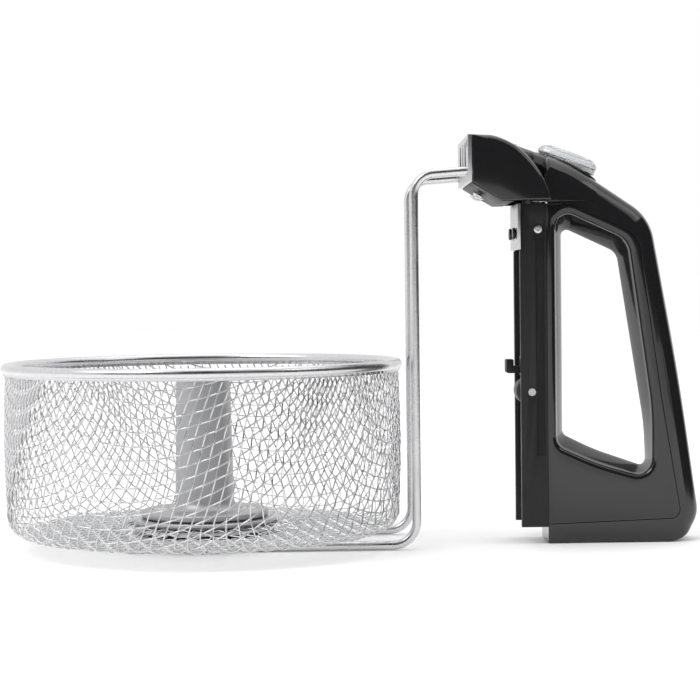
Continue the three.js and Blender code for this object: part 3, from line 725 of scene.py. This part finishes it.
@dataclass
class Hub:
    """The cast hub with its flange, tapered column and closed top."""

    bore: float = 12.2
    neck: float = 17.0
    column_foot: float = 15.6
    column_head: float = 14.2
    flange_thick: float = 3.6
    flange_lift: float = 0.3  # above the clamp ring
    flange_round: float = 1.5
    column_blend: float = 5.5
    cap_round: float = 1.3
    dome: float = 1.7
    cap: float = 3.0
    rivet_circle: float = 23.4
    rivet_head: float = 4.3
    recess: float = 1.3
    groove_low: float = 2.9
    groove_high: float = 4.44
    groove_depth: float = 1.2
    foot: float = field(init=False)
    top: float = field(init=False)
    flange: float = field(init=False)
    flange_base: float = field(init=False)
    flange_top: float = field(init=False)

    def __post_init__(self) -> None:
        """Takes the foot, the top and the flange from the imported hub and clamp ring."""
        low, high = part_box("hub_casting")
        self.foot = low.z / MM
        self.top = high.z / MM
        self.flange = (high.x - low.x) / (2 * MM)
        self.flange_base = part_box("clamp_ring")[1].z / MM + self.flange_lift
        self.flange_top = self.flange_base + self.flange_thick

    def profile(self) -> list[Spot]:
        """The hub's section from the bore's foot round to the closed top."""
        groove = self.neck - self.groove_depth
        edge, blend = self.flange_round, self.column_blend
        points = [(self.bore, self.foot), (self.neck - 0.5, self.foot), (self.neck, self.foot + 0.5)]
        points += [(self.neck, self.groove_low), (groove, self.groove_low), (groove, self.groove_high)]
        points += [(self.neck, self.groove_high), (self.neck, self.flange_base)]
        points += arc((self.flange - edge, self.flange_base + edge), edge, -90, 0, 5)
        points += arc((self.flange - edge, self.flange_top - edge), edge, 0, 82, 6)
        foot_x = self.column_foot + blend
        points.append((foot_x + 4, self.flange_top + 0.05))
        points += arc((foot_x, self.flange_top + blend + 0.1), blend, 270, 184, 10)
        corner = (self.column_head - self.cap_round, self.top - self.cap_round)
        points += arc(corner, self.cap_round, 2, 88, 6)
        points += [(self.column_head * 0.6, self.top + 0.9), (self.column_head * 0.3, self.top + 1.5)]
        points += [(0.0, self.top + self.dome), (0.0, self.top - self.cap)]
        points += [(self.bore - 1.2, self.top - self.cap)]
        return points

    def make(self, paint: Paint) -> None:
        """Turns the hub and sinks the two rivet recesses."""
        body = lathe("hub_cast", self.profile(), 96)
        tools = []
        for side in (-1, 1):
            ring = arc((side * self.rivet_circle, 0), self.rivet_head + 0.35, 0, 350, 35)
            loops = [[(x, y, z) for x, y in ring] for z in (self.flange_top - self.recess, self.flange_top + 2)]
            tools.append(loft("recess_tool", loops))
        carve(body, tools)
        paint.hand_over(soften(body, angle=38), Slot.CAST_ALUMINIUM, "basket", "hub_casting")


# ---------------------------------------------------------------- carrier


@dataclass
class Carrier:
    """The two bent rods that carry the turning basket."""

    radius: float = 2.3
    stand: float = 111.3
    low_bend: float = 12.5
    high_bend: float = 11.0
    rise: float = 193.4
    slope: float = 4.0
    tail: float = -38.0
    end: float = 150.0
    spacing: float = 60.0

    def line(self, y: float) -> list[Vector]:
        """A rod's centre line from its free end to the head."""
        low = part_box("rod_near")[0].z / MM + self.radius
        points = [(self.tail + n * 8.0, low) for n in range(17)]
        points += arc((self.stand - self.low_bend, low + self.low_bend), self.low_bend, -90, 0, 20)
        top = self.rise - self.high_bend * math.cos(math.radians(self.slope))
        start = low + self.low_bend
        points += [(self.stand, start + (top - start) * n / 20) for n in range(1, 20)]
        points += arc((self.stand + self.high_bend, top), self.high_bend, 180, 90 + self.slope, 18)
        last = points[-1]
        for n in range(1, 5):
            x = last[0] + (self.end - last[0]) * n / 4
            points.append((x, last[1] + (x - last[0]) * math.tan(math.radians(self.slope))))
        return [to_frame(x, y, z) for x, z in points]

    def make(self, paint: Paint, wire: WireTree) -> None:
        """Draws both rods with round ends."""
        for name, side in (("rod_near", -1), ("rod_far", 1)):
            line = [self.line(side * self.spacing / 2)]
            rod = wire.draw(name + "_drawn", line, self.radius, 28, paint.materials[Slot.BRIGHT_STEEL])
            paint.hand_over(soften(rod, 0.5, 60, 3), Slot.BRIGHT_STEEL, "carrier", name)


# ---------------------------------------------------------------- head


@dataclass
class Head:
    """The moulded head over the rods' ends."""

    front: float = 141.4
    top: float = 213.1
    nose: float = 189.0
    base: float = 179.4
    slant_foot: float = 157.2
    half: float = 34.0
    seam_x: float = 136.9
    seam_z: float = 171.3
    seam_radius: float = 45.3
    shoulder_angle: float = 53.3
    shoulder_pull: float = 155.0
    shoulder_end: float = 149.0
    wall: float = 1.4
    edge_depth: float = 3.2
    edge_width: float = 4.2
    small_edge: float = 0.5
    slot_rows: tuple[int, ...] = (-16, 0, 16)
    slot_half: float = 4.2
    slot_span: Spot = (196.4, 210.2)
    # size of the gloss black blocks that fill the bracket's slots: painted shade, a dark fill standing for the
    # shade inside the slots
    slot_shade_half: float = 4.1
    slot_shade_span: Spot = (196.5, 210.1)

    def outline(self) -> list[Spot]:
        """The head's side outline: nose, slanted foot, round seam and shoulder, and the flat top."""
        low = math.degrees(math.asin((self.base - self.seam_z) / self.seam_radius))
        shoulder = arc((self.seam_x, self.seam_z), self.seam_radius, low, self.shoulder_angle, 26)
        end = Vector(shoulder[-1])
        pull, flat = Vector((self.shoulder_pull, self.top)), Vector((self.shoulder_end, self.top))
        for n in range(1, 13):
            t = n / 12
            shoulder.append(tuple(end * (1 - t) ** 2 + pull * 2 * t * (1 - t) + flat * t * t))
        return [(self.front, self.top), (self.front, self.nose), (self.slant_foot, self.base)] + shoulder

    def shell(self) -> bpy.types.Object:
        """The cover with its softly rounded long edges, solid until make() hollows it behind the front plate."""
        points = self.outline()
        normals = outward_normals(points)
        small = self.small_edge
        loops = []
        steps = 7
        for n, hand in mirrored(steps + 1):
            angle = math.pi / 2 * n / steps
            loop = []
            for (x, z), normal in zip(points, normals):
                upper = smooth_step(0.15, 0.7, normal.y) * smooth_step(-0.2, 0.3, normal.x + 0.5)
                size = small + (self.edge_depth - small) * upper
                width = small + (self.edge_width - small) * upper
                inward = size * (1 - math.sin(angle))
                if normal.x < -0.6:
                    inward = min(inward, small * (1 - math.sin(angle)))
                y = self.half - width * (1 - math.cos(angle))
                loop.append((x - normal.x * inward, hand * y, z - normal.y * inward))
            loops.append(loop)
        return loft("head_cover_moulded", loops)

    def bars(self, name: str, half: float, span: Spot, reach: Spot) -> list[bpy.types.Object]:
        """One upright block at each slot of the front plate, from reach[0] to reach[1] past it."""
        near, far = (self.front + x for x in reach)
        return [
            block(name, (near, y - half, span[0]), (far, y + half, span[1])) for y in self.slot_rows
        ]

    def make(self, paint: Paint) -> None:
        """Moulds the cover and finishes the sheet steel, lid and screws."""
        cover = self.shell()
        inner = [
            (self.front - 3, self.top - 1.6), (self.front - 3, self.nose - 14),
            (self.seam_x + 33, self.nose - 14), (self.seam_x + 33, self.base + 8),
            (self.seam_x + 26, self.top - 14), (150, self.top - 1.8),
        ]
        width = self.half - self.wall
        hollow = loft("hollow_tool", [[(x, y, z) for x, z in inner] for y in (-width, width)])
        stem_low = (self.seam_x + 20, -8, self.base - 2)
        stem_way = block("stem_tool", stem_low, (self.seam_x + 48, 8, self.base + 12))
        carve(cover, [hollow, stem_way])
        # Joins gloss black blocks into the bracket's slots: painted shade, a dark fill standing for the shade
        # inside the slots rather than a real part
        carve(cover, self.bars("slot_shade_fill", self.slot_shade_half, self.slot_shade_span, (-1.95, 0.6)), "UNION")
        paint.hand_over(soften(cover, angle=32), Slot.GLOSS_BLACK, "carrier", "head_cover")
        plate = refined("head_bracket", 0.0)
        carve(plate, self.bars("slot_tool", self.slot_half, self.slot_span, (-4, -0.2)))
        paint.hand_over(soften(plate, 0.3), Slot.SATIN_STEEL, "carrier", "head_bracket")
        for node, width, slot in (
            ("head_underside", 0.4, Slot.MATT_BLACK),
            ("channel_tab", 0.3, Slot.SATIN_STEEL),
            ("underside_screw_near", 0.3, Slot.BRIGHT_STEEL),
            ("underside_screw_far", 0.3, Slot.BRIGHT_STEEL),
            ("tab_screw_near", 0.25, Slot.DARK_STEEL),
            ("tab_screw_far", 0.25, Slot.DARK_STEEL),
        ):
            paint.hand_over(refined(node, width), slot, "carrier", node)


# ---------------------------------------------------------------- handle


@dataclass
class Handle:
    """The D-shaped handle: outer shell, two side panels and the swelling wall of the hand opening."""

    left: float = 181.3
    half: float = 14.0
    panel_half: float = 13.95
    shell_corners: tuple[Corner, ...] = (
        (181.3, 0, 0), (264.1, 0, 17), (252.5, 85, 1500), (237.3, 171, 27),
        (195.8, 199.1, 60), (164.9, 210.5, 1), (164.9, 200.5, 0), (181.3, 174, 0),
    )
    panel_corners: tuple[Corner, ...] = (
        (181.3, 9.9, 0), (251.6, 12.3, 5), (241.4, 76, 300),
        (229.6, 160.9, 13), (193.5, 178.2, 16), (181.3, 178.2, 0),
    )
    opening_corners: tuple[Corner, ...] = (
        (186.2, 51.5, 7), (207, 41.9, 120), (236.4, 33.2, 8),
        (236.4, 70, 150), (224.4, 158.7, 12), (186.2, 176.6, 7),
    )
    middle_corners: tuple[Corner, ...] = (
        (190.8, 56.4, 4), (207, 48.3, 120), (235.0, 38.5, 3),
        (234.0, 62, 150), (220.1, 152.7, 8), (190.8, 166.5, 3),
    )
    fillet: float = 3.1
    spine_depth: float = 7.2
    flare_half: float = 31.0
    flare_front: float = 156.9
    flare_end: float = 208.0
    flare_base: float = 179.7
    well_half: float = 7.2
    well_foot: float = 177.0
    well_top: float = 186.4
    seam: tuple[float, float, float] = (136.9, 171.3, 45.6)

    # depth below the outline and share of the half width, from the side face to the crown
    SPINE = (
        (1.0, 1.0), (0.96, 0.99), (0.70, 0.93), (0.46, 0.85), (0.27, 0.75),
        (0.14, 0.63), (0.06, 0.48), (0.02, 0.30), (0.0, 0.12),
    )

    def body(self) -> bpy.types.Object:
        """The whole D with its rounded spine, before anything is cut from it."""
        points = rounded(self.shell_corners, 16, 3)
        normals = outward_normals(points)
        loops = []
        for k, hand in mirrored(len(self.SPINE)):
            depth, width = self.SPINE[k]
            loop = []
            for (x, z), normal in zip(points, normals):
                under = smooth_step(0.5, 0.97, -normal.y)
                left = smooth_step(0.3, 0.8, -normal.x)
                soft = (1 - under) * (1 - left)
                inward = depth * (self.spine_depth * soft + 1.2 * under * (1 - left))
                small = 1 - (1 - width) * 0.12
                share = width * soft + small * (1 - soft)
                loop.append((x - normal.x * inward, hand * self.half * share, z - normal.y * inward))
            loops.append(loop)
        return loft("handle_shell_moulded", loops)

    def flare_width(self, x: float) -> float:
        """Half width of the handle's front end at a station along X."""
        ends = (self.flare_front, self.flare_end - 26, self.flare_end - 18, self.flare_end)
        widths = (self.flare_half, self.flare_half - 2, self.half, self.half - 0.02)
        low, high = 0.0, 1.0
        for _ in range(30):
            t = (low + high) / 2
            if self.cubic(ends, t) < x:
                low = t
            else:
                high = t
        return self.cubic(widths, (low + high) / 2)

    @staticmethod
    def cubic(values: Sequence[float], t: float) -> float:
        """A cubic curve through four control values."""
        a, b, c, d = values
        s = 1 - t
        return a * s**3 + 3 * b * s * s * t + 3 * c * s * t * t + d * t**3

    def top_at(self, x: float) -> float:
        """Height of the handle's top outline at a station along X."""
        outline = rounded(self.shell_corners, 16, 3)
        upper = sorted((px, pz) for px, pz in outline if pz > 176 and px > 164.5)
        return float(np.interp(x, [p[0] for p in upper], [p[1] for p in upper]))

    def flare(self) -> bpy.types.Object:
        """The front end, which widens to meet the head."""
        loops = []
        stations = 30
        for n in range(stations + 1):
            x = self.flare_front + (self.flare_end - self.flare_front) * n / stations
            wide = self.flare_width(x)
            top = self.top_at(max(x, 165.2))
            loop = []
            for k, hand in mirrored(len(self.SPINE)):
                depth, share = self.SPINE[k]
                loop.append((x, hand * wide * share, top - self.spine_depth * depth))
            loops.append([(x, -wide, self.flare_base), *loop, (x, wide, self.flare_base)])
        return loft("flare_tool", loops)

    def hand_space(self) -> bpy.types.Object:
        """The space of the hand opening, with the fillets and the swell of its wall."""
        face = rounded(self.opening_corners, 12, 6)
        wide = rounded(inset(self.opening_corners, -self.fillet), 12, 6)
        middle = rounded(self.middle_corners, 12, 6)
        stations: list[Triple] = [(self.half + 2, 1.0, 0.0)]
        for n in range(8):
            angle = math.pi / 2 * n / 7
            y = self.panel_half - self.fillet * (1 - math.cos(angle))
            stations.append((y, 1 - math.sin(angle), 0.0))
        wall = self.panel_half - self.fillet
        for n in range(1, 9):
            share = n / 8
            stations.append((wall * (1 - share), 0.0, 1 - (1 - share) ** 1.25))
        rows = [(-y, out, swell) for y, out, swell in stations]
        rows += [(y, out, swell) for y, out, swell in reversed(stations[:-1])]
        loops = []
        for y, out, swell in rows:
            loop = []
            for a, b, c in zip(face, wide, middle):
                x = a[0] + (b[0] - a[0]) * out + (c[0] - a[0]) * swell
                z = a[1] + (b[1] - a[1]) * out + (c[1] - a[1]) * swell
                loop.append((x, y, z))
            loops.append(loop)
        return loft("hand_tool", loops)

    @staticmethod
    def prism(
        name: str, corners: Sequence[Corner], y0: float, y1: float, edge: float = 0.0
    ) -> bpy.types.Object:
        """A flat plate of an outline, with the edge at y0 slightly rounded."""
        points = rounded(corners, 12, 2)
        normals = outward_normals(points)
        hand = 1 if y1 > y0 else -1
        rows = [(y0, 0.0)]
        if edge:
            angles = [math.pi / 2 * n / 3 for n in range(4)]
            rows = [(y0 + hand * edge * (1 - math.cos(a)), edge * (1 - math.sin(a))) for a in angles]
        loops = [
            [(x - m.x * inward, y, z - m.y * inward) for (x, z), m in zip(points, normals)]
            for y, inward in rows
        ]
        loops.append([(x, y1, z) for x, z in points])
        return loft(name, loops)

    def seam_tool(self) -> bpy.types.Object:
        """The drum that cuts the round seam towards the head."""
        x, z, radius = self.seam
        return drum("seam_tool", (x, 0, z), radius, 40, 160)

    def make(self, paint: Paint) -> None:
        """Moulds the shell and both side panels."""
        shell = carve(self.body(), [self.flare()], "UNION")
        window = self.prism("window_tool", inset(self.panel_corners, -0.12), -40, 40)
        well_low = (self.left - 20, -self.well_half, self.well_foot)
        well = block("well_tool", well_low, (self.flare_end, self.well_half, self.well_top))
        seat = Button()
        way = loft("button_way", [seat.oval(0.5, z) for z in (-9.0, 16.0)])
        stem_way = loft("stem_way", [seat.oval(-4.3, z) for z in (-18.0, -7.0)])
        slide = block("slide_tool", (self.left - 30, -40, -2), (self.left, 40, 172))
        carve(shell, [window, well, slide, way, stem_way, self.seam_tool()])
        paint.hand_over(soften(shell, angle=30), Slot.GLOSS_BLACK, "carrier", "handle_shell")
        latch_low, latch_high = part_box("latch_bolt")
        face = inset(self.panel_corners, 0.12)
        for name, side in (("side_panel_near", -1), ("side_panel_far", 1)):
            panel = self.prism(name + "_moulded", face, side * self.panel_half, side * 0.15, 0.2)
            latch_way = block(
                "latch_tool",
                (self.left - 1, -5.8, latch_low.z / MM - 0.4),
                ((latch_high.x - AXIS_X) / MM + 7, 5.8, latch_high.z / MM + 0.4),
            )
            carve(panel, [self.hand_space(), self.seam_tool(), latch_way])
            paint.hand_over(soften(panel, angle=30), Slot.GLOSS_BLACK, "carrier", name)


@dataclass
class Button:
    """The clear oval release button and the thin bezel round it."""

    x: float = 194.0
    z: float = 201.0
    tilt: float = 20.0
    length: float = 32.5
    width: float = 17.0
    rise: float = 5.0
    foot: float = 0.6
    skirt: float = 2.8
    rib_count: int = 72

    def seated(self, x: float, y: float, z: float) -> Triple:
        """A point drawn flat at the origin, carried to the button's seat."""
        turn = math.radians(self.tilt)
        return (
            self.x + x * math.cos(turn) + z * math.sin(turn),
            y,
            self.z - x * math.sin(turn) + z * math.cos(turn),
        )

    def oval(self, grow: float, z: float, steps: int = 128, rib: float = 0.0) -> list[Triple]:
        """An oval loop at a height, optionally with ribs round it."""
        loop = []
        for n in range(steps):
            angle = 2 * math.pi * n / steps
            bump = rib * (0.5 + 0.5 * math.cos(self.rib_count * angle))
            across, along = self.width / 2 + grow + bump, self.length / 2 + grow + bump
            loop.append(self.seated(along * math.cos(angle), across * math.sin(angle), z))
        return loop

    def dome(self) -> bpy.types.Object:
        """The clear domed cap."""
        foot = ((-0.5, -0.25), (-0.1, -0.1), (0.0, 0.2))
        loops = [self.oval(grow, self.foot + lift) for grow, lift in foot]
        for n in range(1, 12):
            angle = math.pi / 2 * n / 12
            shrink = -(self.width / 2 - 0.6) * (1 - math.cos(angle)) ** 1.15
            loops.append(self.oval(shrink, self.foot + (self.rise - 0.1) * math.sin(angle)))
        return loft("button_cap_clear", loops)

    def core(self) -> bpy.types.Object:
        """The ribbed silvery core under the cap, with the stem below it."""
        rib = 0.3
        base = self.foot - self.skirt
        loops = [self.oval(-1.4, base - 0.2, 512), self.oval(-0.55, base, 512, rib)]
        loops += [self.oval(-0.45, self.foot - 0.6, 512, rib), self.oval(-0.8, self.foot - 0.35, 512)]
        body = loft("button_core", loops)
        stem = [
            [self.seated(3 * math.cos(a), 3 * math.sin(a), z) for a in (2 * math.pi * n / 32 for n in range(32))]
            for z in (-12.8, base + 0.4)
        ]
        return carve(body, [loft("stem_part", stem)], "UNION")

    def bezel(self) -> bpy.types.Object:
        """The thin bezel, which follows the handle's curved top round the button."""
        handle = Handle()
        slope = math.cos(math.radians(self.tilt))
        section = (
            (0.6, -0.6), (0.6, 0.8), (0.9, 1.2), (1.5, 1.3), (2.0, 1.0), (2.2, 0.5), (2.2, -0.6),
        )
        loops = []
        for grow, lift in section:
            loop = []
            for n in range(128):
                angle = 2 * math.pi * n / 128
                along = (self.length / 2 + grow) * math.cos(angle)
                across = (self.width / 2 + grow) * math.sin(angle)
                drop = handle.spine_depth * 0.5 * (1 - math.sqrt(1 - (across / handle.half) ** 2))
                height = 0.0
                for _ in range(8):
                    x, _, z = self.seated(along, across, height)
                    height += (handle.top_at(x) - drop + lift - z) * slope
                loop.append(self.seated(along, across, height))
            loops.append(loop)
        return loft("button_bezel_moulded", loops, close_ends=False, ring=True)

    def make(self, paint: Paint) -> None:
        """Makes the cap, its core and the bezel."""
        paint.hand_over(soften(self.dome(), angle=50), Slot.CLEAR_PLASTIC, "button", "release_button")
        paint.hand_over(soften(self.core(), angle=30), Slot.SATIN_STEEL, "button")
        paint.hand_over(soften(self.bezel(), angle=40), Slot.GLOSS_BLACK, "carrier", "button_bezel")


class Mechanism:
    """The slide channel, its fasteners, the roller and the latch parts."""

    def make(self, paint: Paint) -> None:
        """Rounds the edges of the small parts and sinks the side screws' sockets."""
        for node, side in (("side_screw_near", -1), ("side_screw_far", 1)):
            low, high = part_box(node)
            x, z = ((low.x + high.x) / 2 - AXIS_X) / MM, (low.z + high.z) / (2 * MM)
            face = max(abs(low.y), abs(high.y)) / MM
            socket = drum("socket_tool", (x, side * face, z), 0.95, 0.75, 6)
            screw = carve(refined(node, 0.25), [socket])
            paint.hand_over(soften(screw), Slot.BRIGHT_STEEL, "carrier", node)
        for node, body, slot, width in (
            ("slide_channel", "carrier", Slot.MATT_BLACK, 0.35),
            ("latch_bolt", "latch", Slot.MATT_BLACK, 0.4),
            ("release_link", "link", Slot.SATIN_STEEL, 0.3),
            ("guide_roller", "roller", Slot.BLACK_NYLON, 0.6),
            ("hub_rivet_1", "basket", Slot.BRIGHT_STEEL, 0.0),
            ("hub_rivet_2", "basket", Slot.BRIGHT_STEEL, 0.0),
            ("clamp_ring", "basket", Slot.SATIN_STEEL, 0.0),
            ("base_washer", "basket", Slot.SATIN_STEEL, 0.0),
            ("bearing_plate", "carrier", Slot.SATIN_STEEL, 0.0),
        ):
            paint.hand_over(refined(node, width), slot, body, node)


# ---------------------------------------------------------------- studio


SQUARE = ((-1, -1), (1, -1), (1, 1), (-1, 1))
LAMPS = (  # name, place in metres, size in metres, power in watts
    ("key", (-1.1, -0.9, 1.5), 0.9, 12),
    ("fill", (1.4, -0.6, 1.2), 0.8, 2),
    ("top", (0.1, 0.5, 1.8), 1.4, 5),
)
CARDS = (
    ("dark_front_high", ((-2.4, -1.5, 0.17), (2.6, -1.5, 0.17), (2.6, -1.5, 2.4), (-2.4, -1.5, 2.4))),
    ("dark_right", ((1.2, -1.4, 0.0), (1.2, 0.5, 0.0), (1.2, 0.5, 0.9), (1.2, -1.4, 0.9))),
)


@dataclass
class Studio:
    """Pale floor, soft lights and the camera."""

    camera_x: float = 65.011
    camera_y: float = -958.653
    camera_z: float = 133.439
    yaw: float = 0.785
    pitch: float = -1.852
    roll: float = 0.667
    lens: float = 92.88
    floor_span: float = 6.0
    floor_drop: float = 0.0003  # below the object, so that the two faces don't flicker

    def camera(self) -> None:
        """Places the camera with its small yaw, pitch and roll."""
        yaw, pitch, roll = (math.radians(v) for v in (self.yaw, self.pitch, self.roll))
        level = math.cos(pitch)
        ahead = Vector((math.sin(yaw) * level, math.cos(yaw) * level, math.sin(pitch)))
        right = Vector((math.cos(yaw), -math.sin(yaw), 0))
        up = right.cross(ahead)
        leaned_right = right * math.cos(roll) - up * math.sin(roll)
        leaned_up = right * math.sin(roll) + up * math.cos(roll)
        data = bpy.data.cameras.new("camera")
        data.lens = self.lens
        data.sensor_width = 36
        data.clip_start = 0.01
        eye = bpy.data.objects.new("camera", data)
        bpy.context.scene.collection.objects.link(eye)
        turn = Matrix((leaned_right, leaned_up, -ahead)).transposed().to_4x4()
        eye.matrix_world = Matrix.Translation(to_frame(self.camera_x, self.camera_y, self.camera_z)) @ turn
        bpy.context.scene.camera = eye

    @staticmethod
    def plain(name: str, colour: Triple, roughness: float) -> bpy.types.Material:
        """A material for the floor and the studio's cards."""
        material = bpy.data.materials.new(name)
        material.use_nodes = True
        shader = material.node_tree.nodes["Principled BSDF"]
        shader.inputs["Base Color"].default_value = (*colour, 1)
        shader.inputs["Roughness"].default_value = roughness
        shader.inputs["Specular IOR Level"].default_value = 0.2
        return material

    def card(self, name: str, corners: Sequence[Triple]) -> None:
        """A black studio card that only reflections see, between four corners in metres."""
        mesh = bpy.data.meshes.new(name)
        mesh.from_pydata([Vector(corner) for corner in corners], [], [(0, 1, 2, 3)])
        mesh.materials.append(self.plain(name, (0.0, 0.0, 0.0), 1.0))
        card = link(name, mesh)
        card.visible_camera = False
        card.visible_diffuse = False
        card.visible_shadow = False

    def lamp(self, name: str, place: Triple, size: float, power: float) -> None:
        """A square soft light aimed at the object."""
        data = bpy.data.lights.new(name, "AREA")
        data.size = size
        data.energy = power
        lamp = bpy.data.objects.new(name, data)
        bpy.context.scene.collection.objects.link(lamp)
        lamp.location = place
        aim = Vector((0, 0, 0.08)) - Vector(place)
        lamp.rotation_euler = aim.to_track_quat("-Z", "Y").to_euler()

    def make(self) -> None:
        """Sets the camera, the floor, the sky and the lights."""
        self.camera()
        bpy.context.scene.view_settings.view_transform = "Standard"
        mesh = bpy.data.meshes.new("floor")
        corners = [(x * self.floor_span, y * self.floor_span, 0) for x, y in SQUARE]
        mesh.from_pydata(corners, [], [(0, 1, 2, 3)])
        mesh.materials.append(self.plain("floor_paper", (1.0, 1.0, 1.0), 0.8))
        floor = link("floor", mesh)
        floor.location.z = -self.floor_drop
        world = bpy.data.worlds.new("sky")
        world.use_nodes = True
        world.node_tree.nodes["Background"].inputs["Color"].default_value = (1, 1, 1, 1)
        world.node_tree.nodes["Background"].inputs["Strength"].default_value = 1.0
        bpy.context.scene.world = world
        for name, place, size, power in LAMPS:
            self.lamp(name, place, size, power)
        for name, corners in CARDS:
            self.card(name, corners)


def main() -> None:
    """Builds every sub-assembly in order."""
    studio = Studio()
    studio.make()
    paint = Paint()
    paint.on_nodes()
    wire = WireTree()
    WovenBowl().make(paint, wire)
    Rim().make(paint)
    Hub().make(paint)
    Carrier().make(paint, wire)
    Head().make(paint)
    Handle().make(paint)
    Button().make(paint)
    Mechanism().make(paint)


if __name__ == "__main__":
    main()
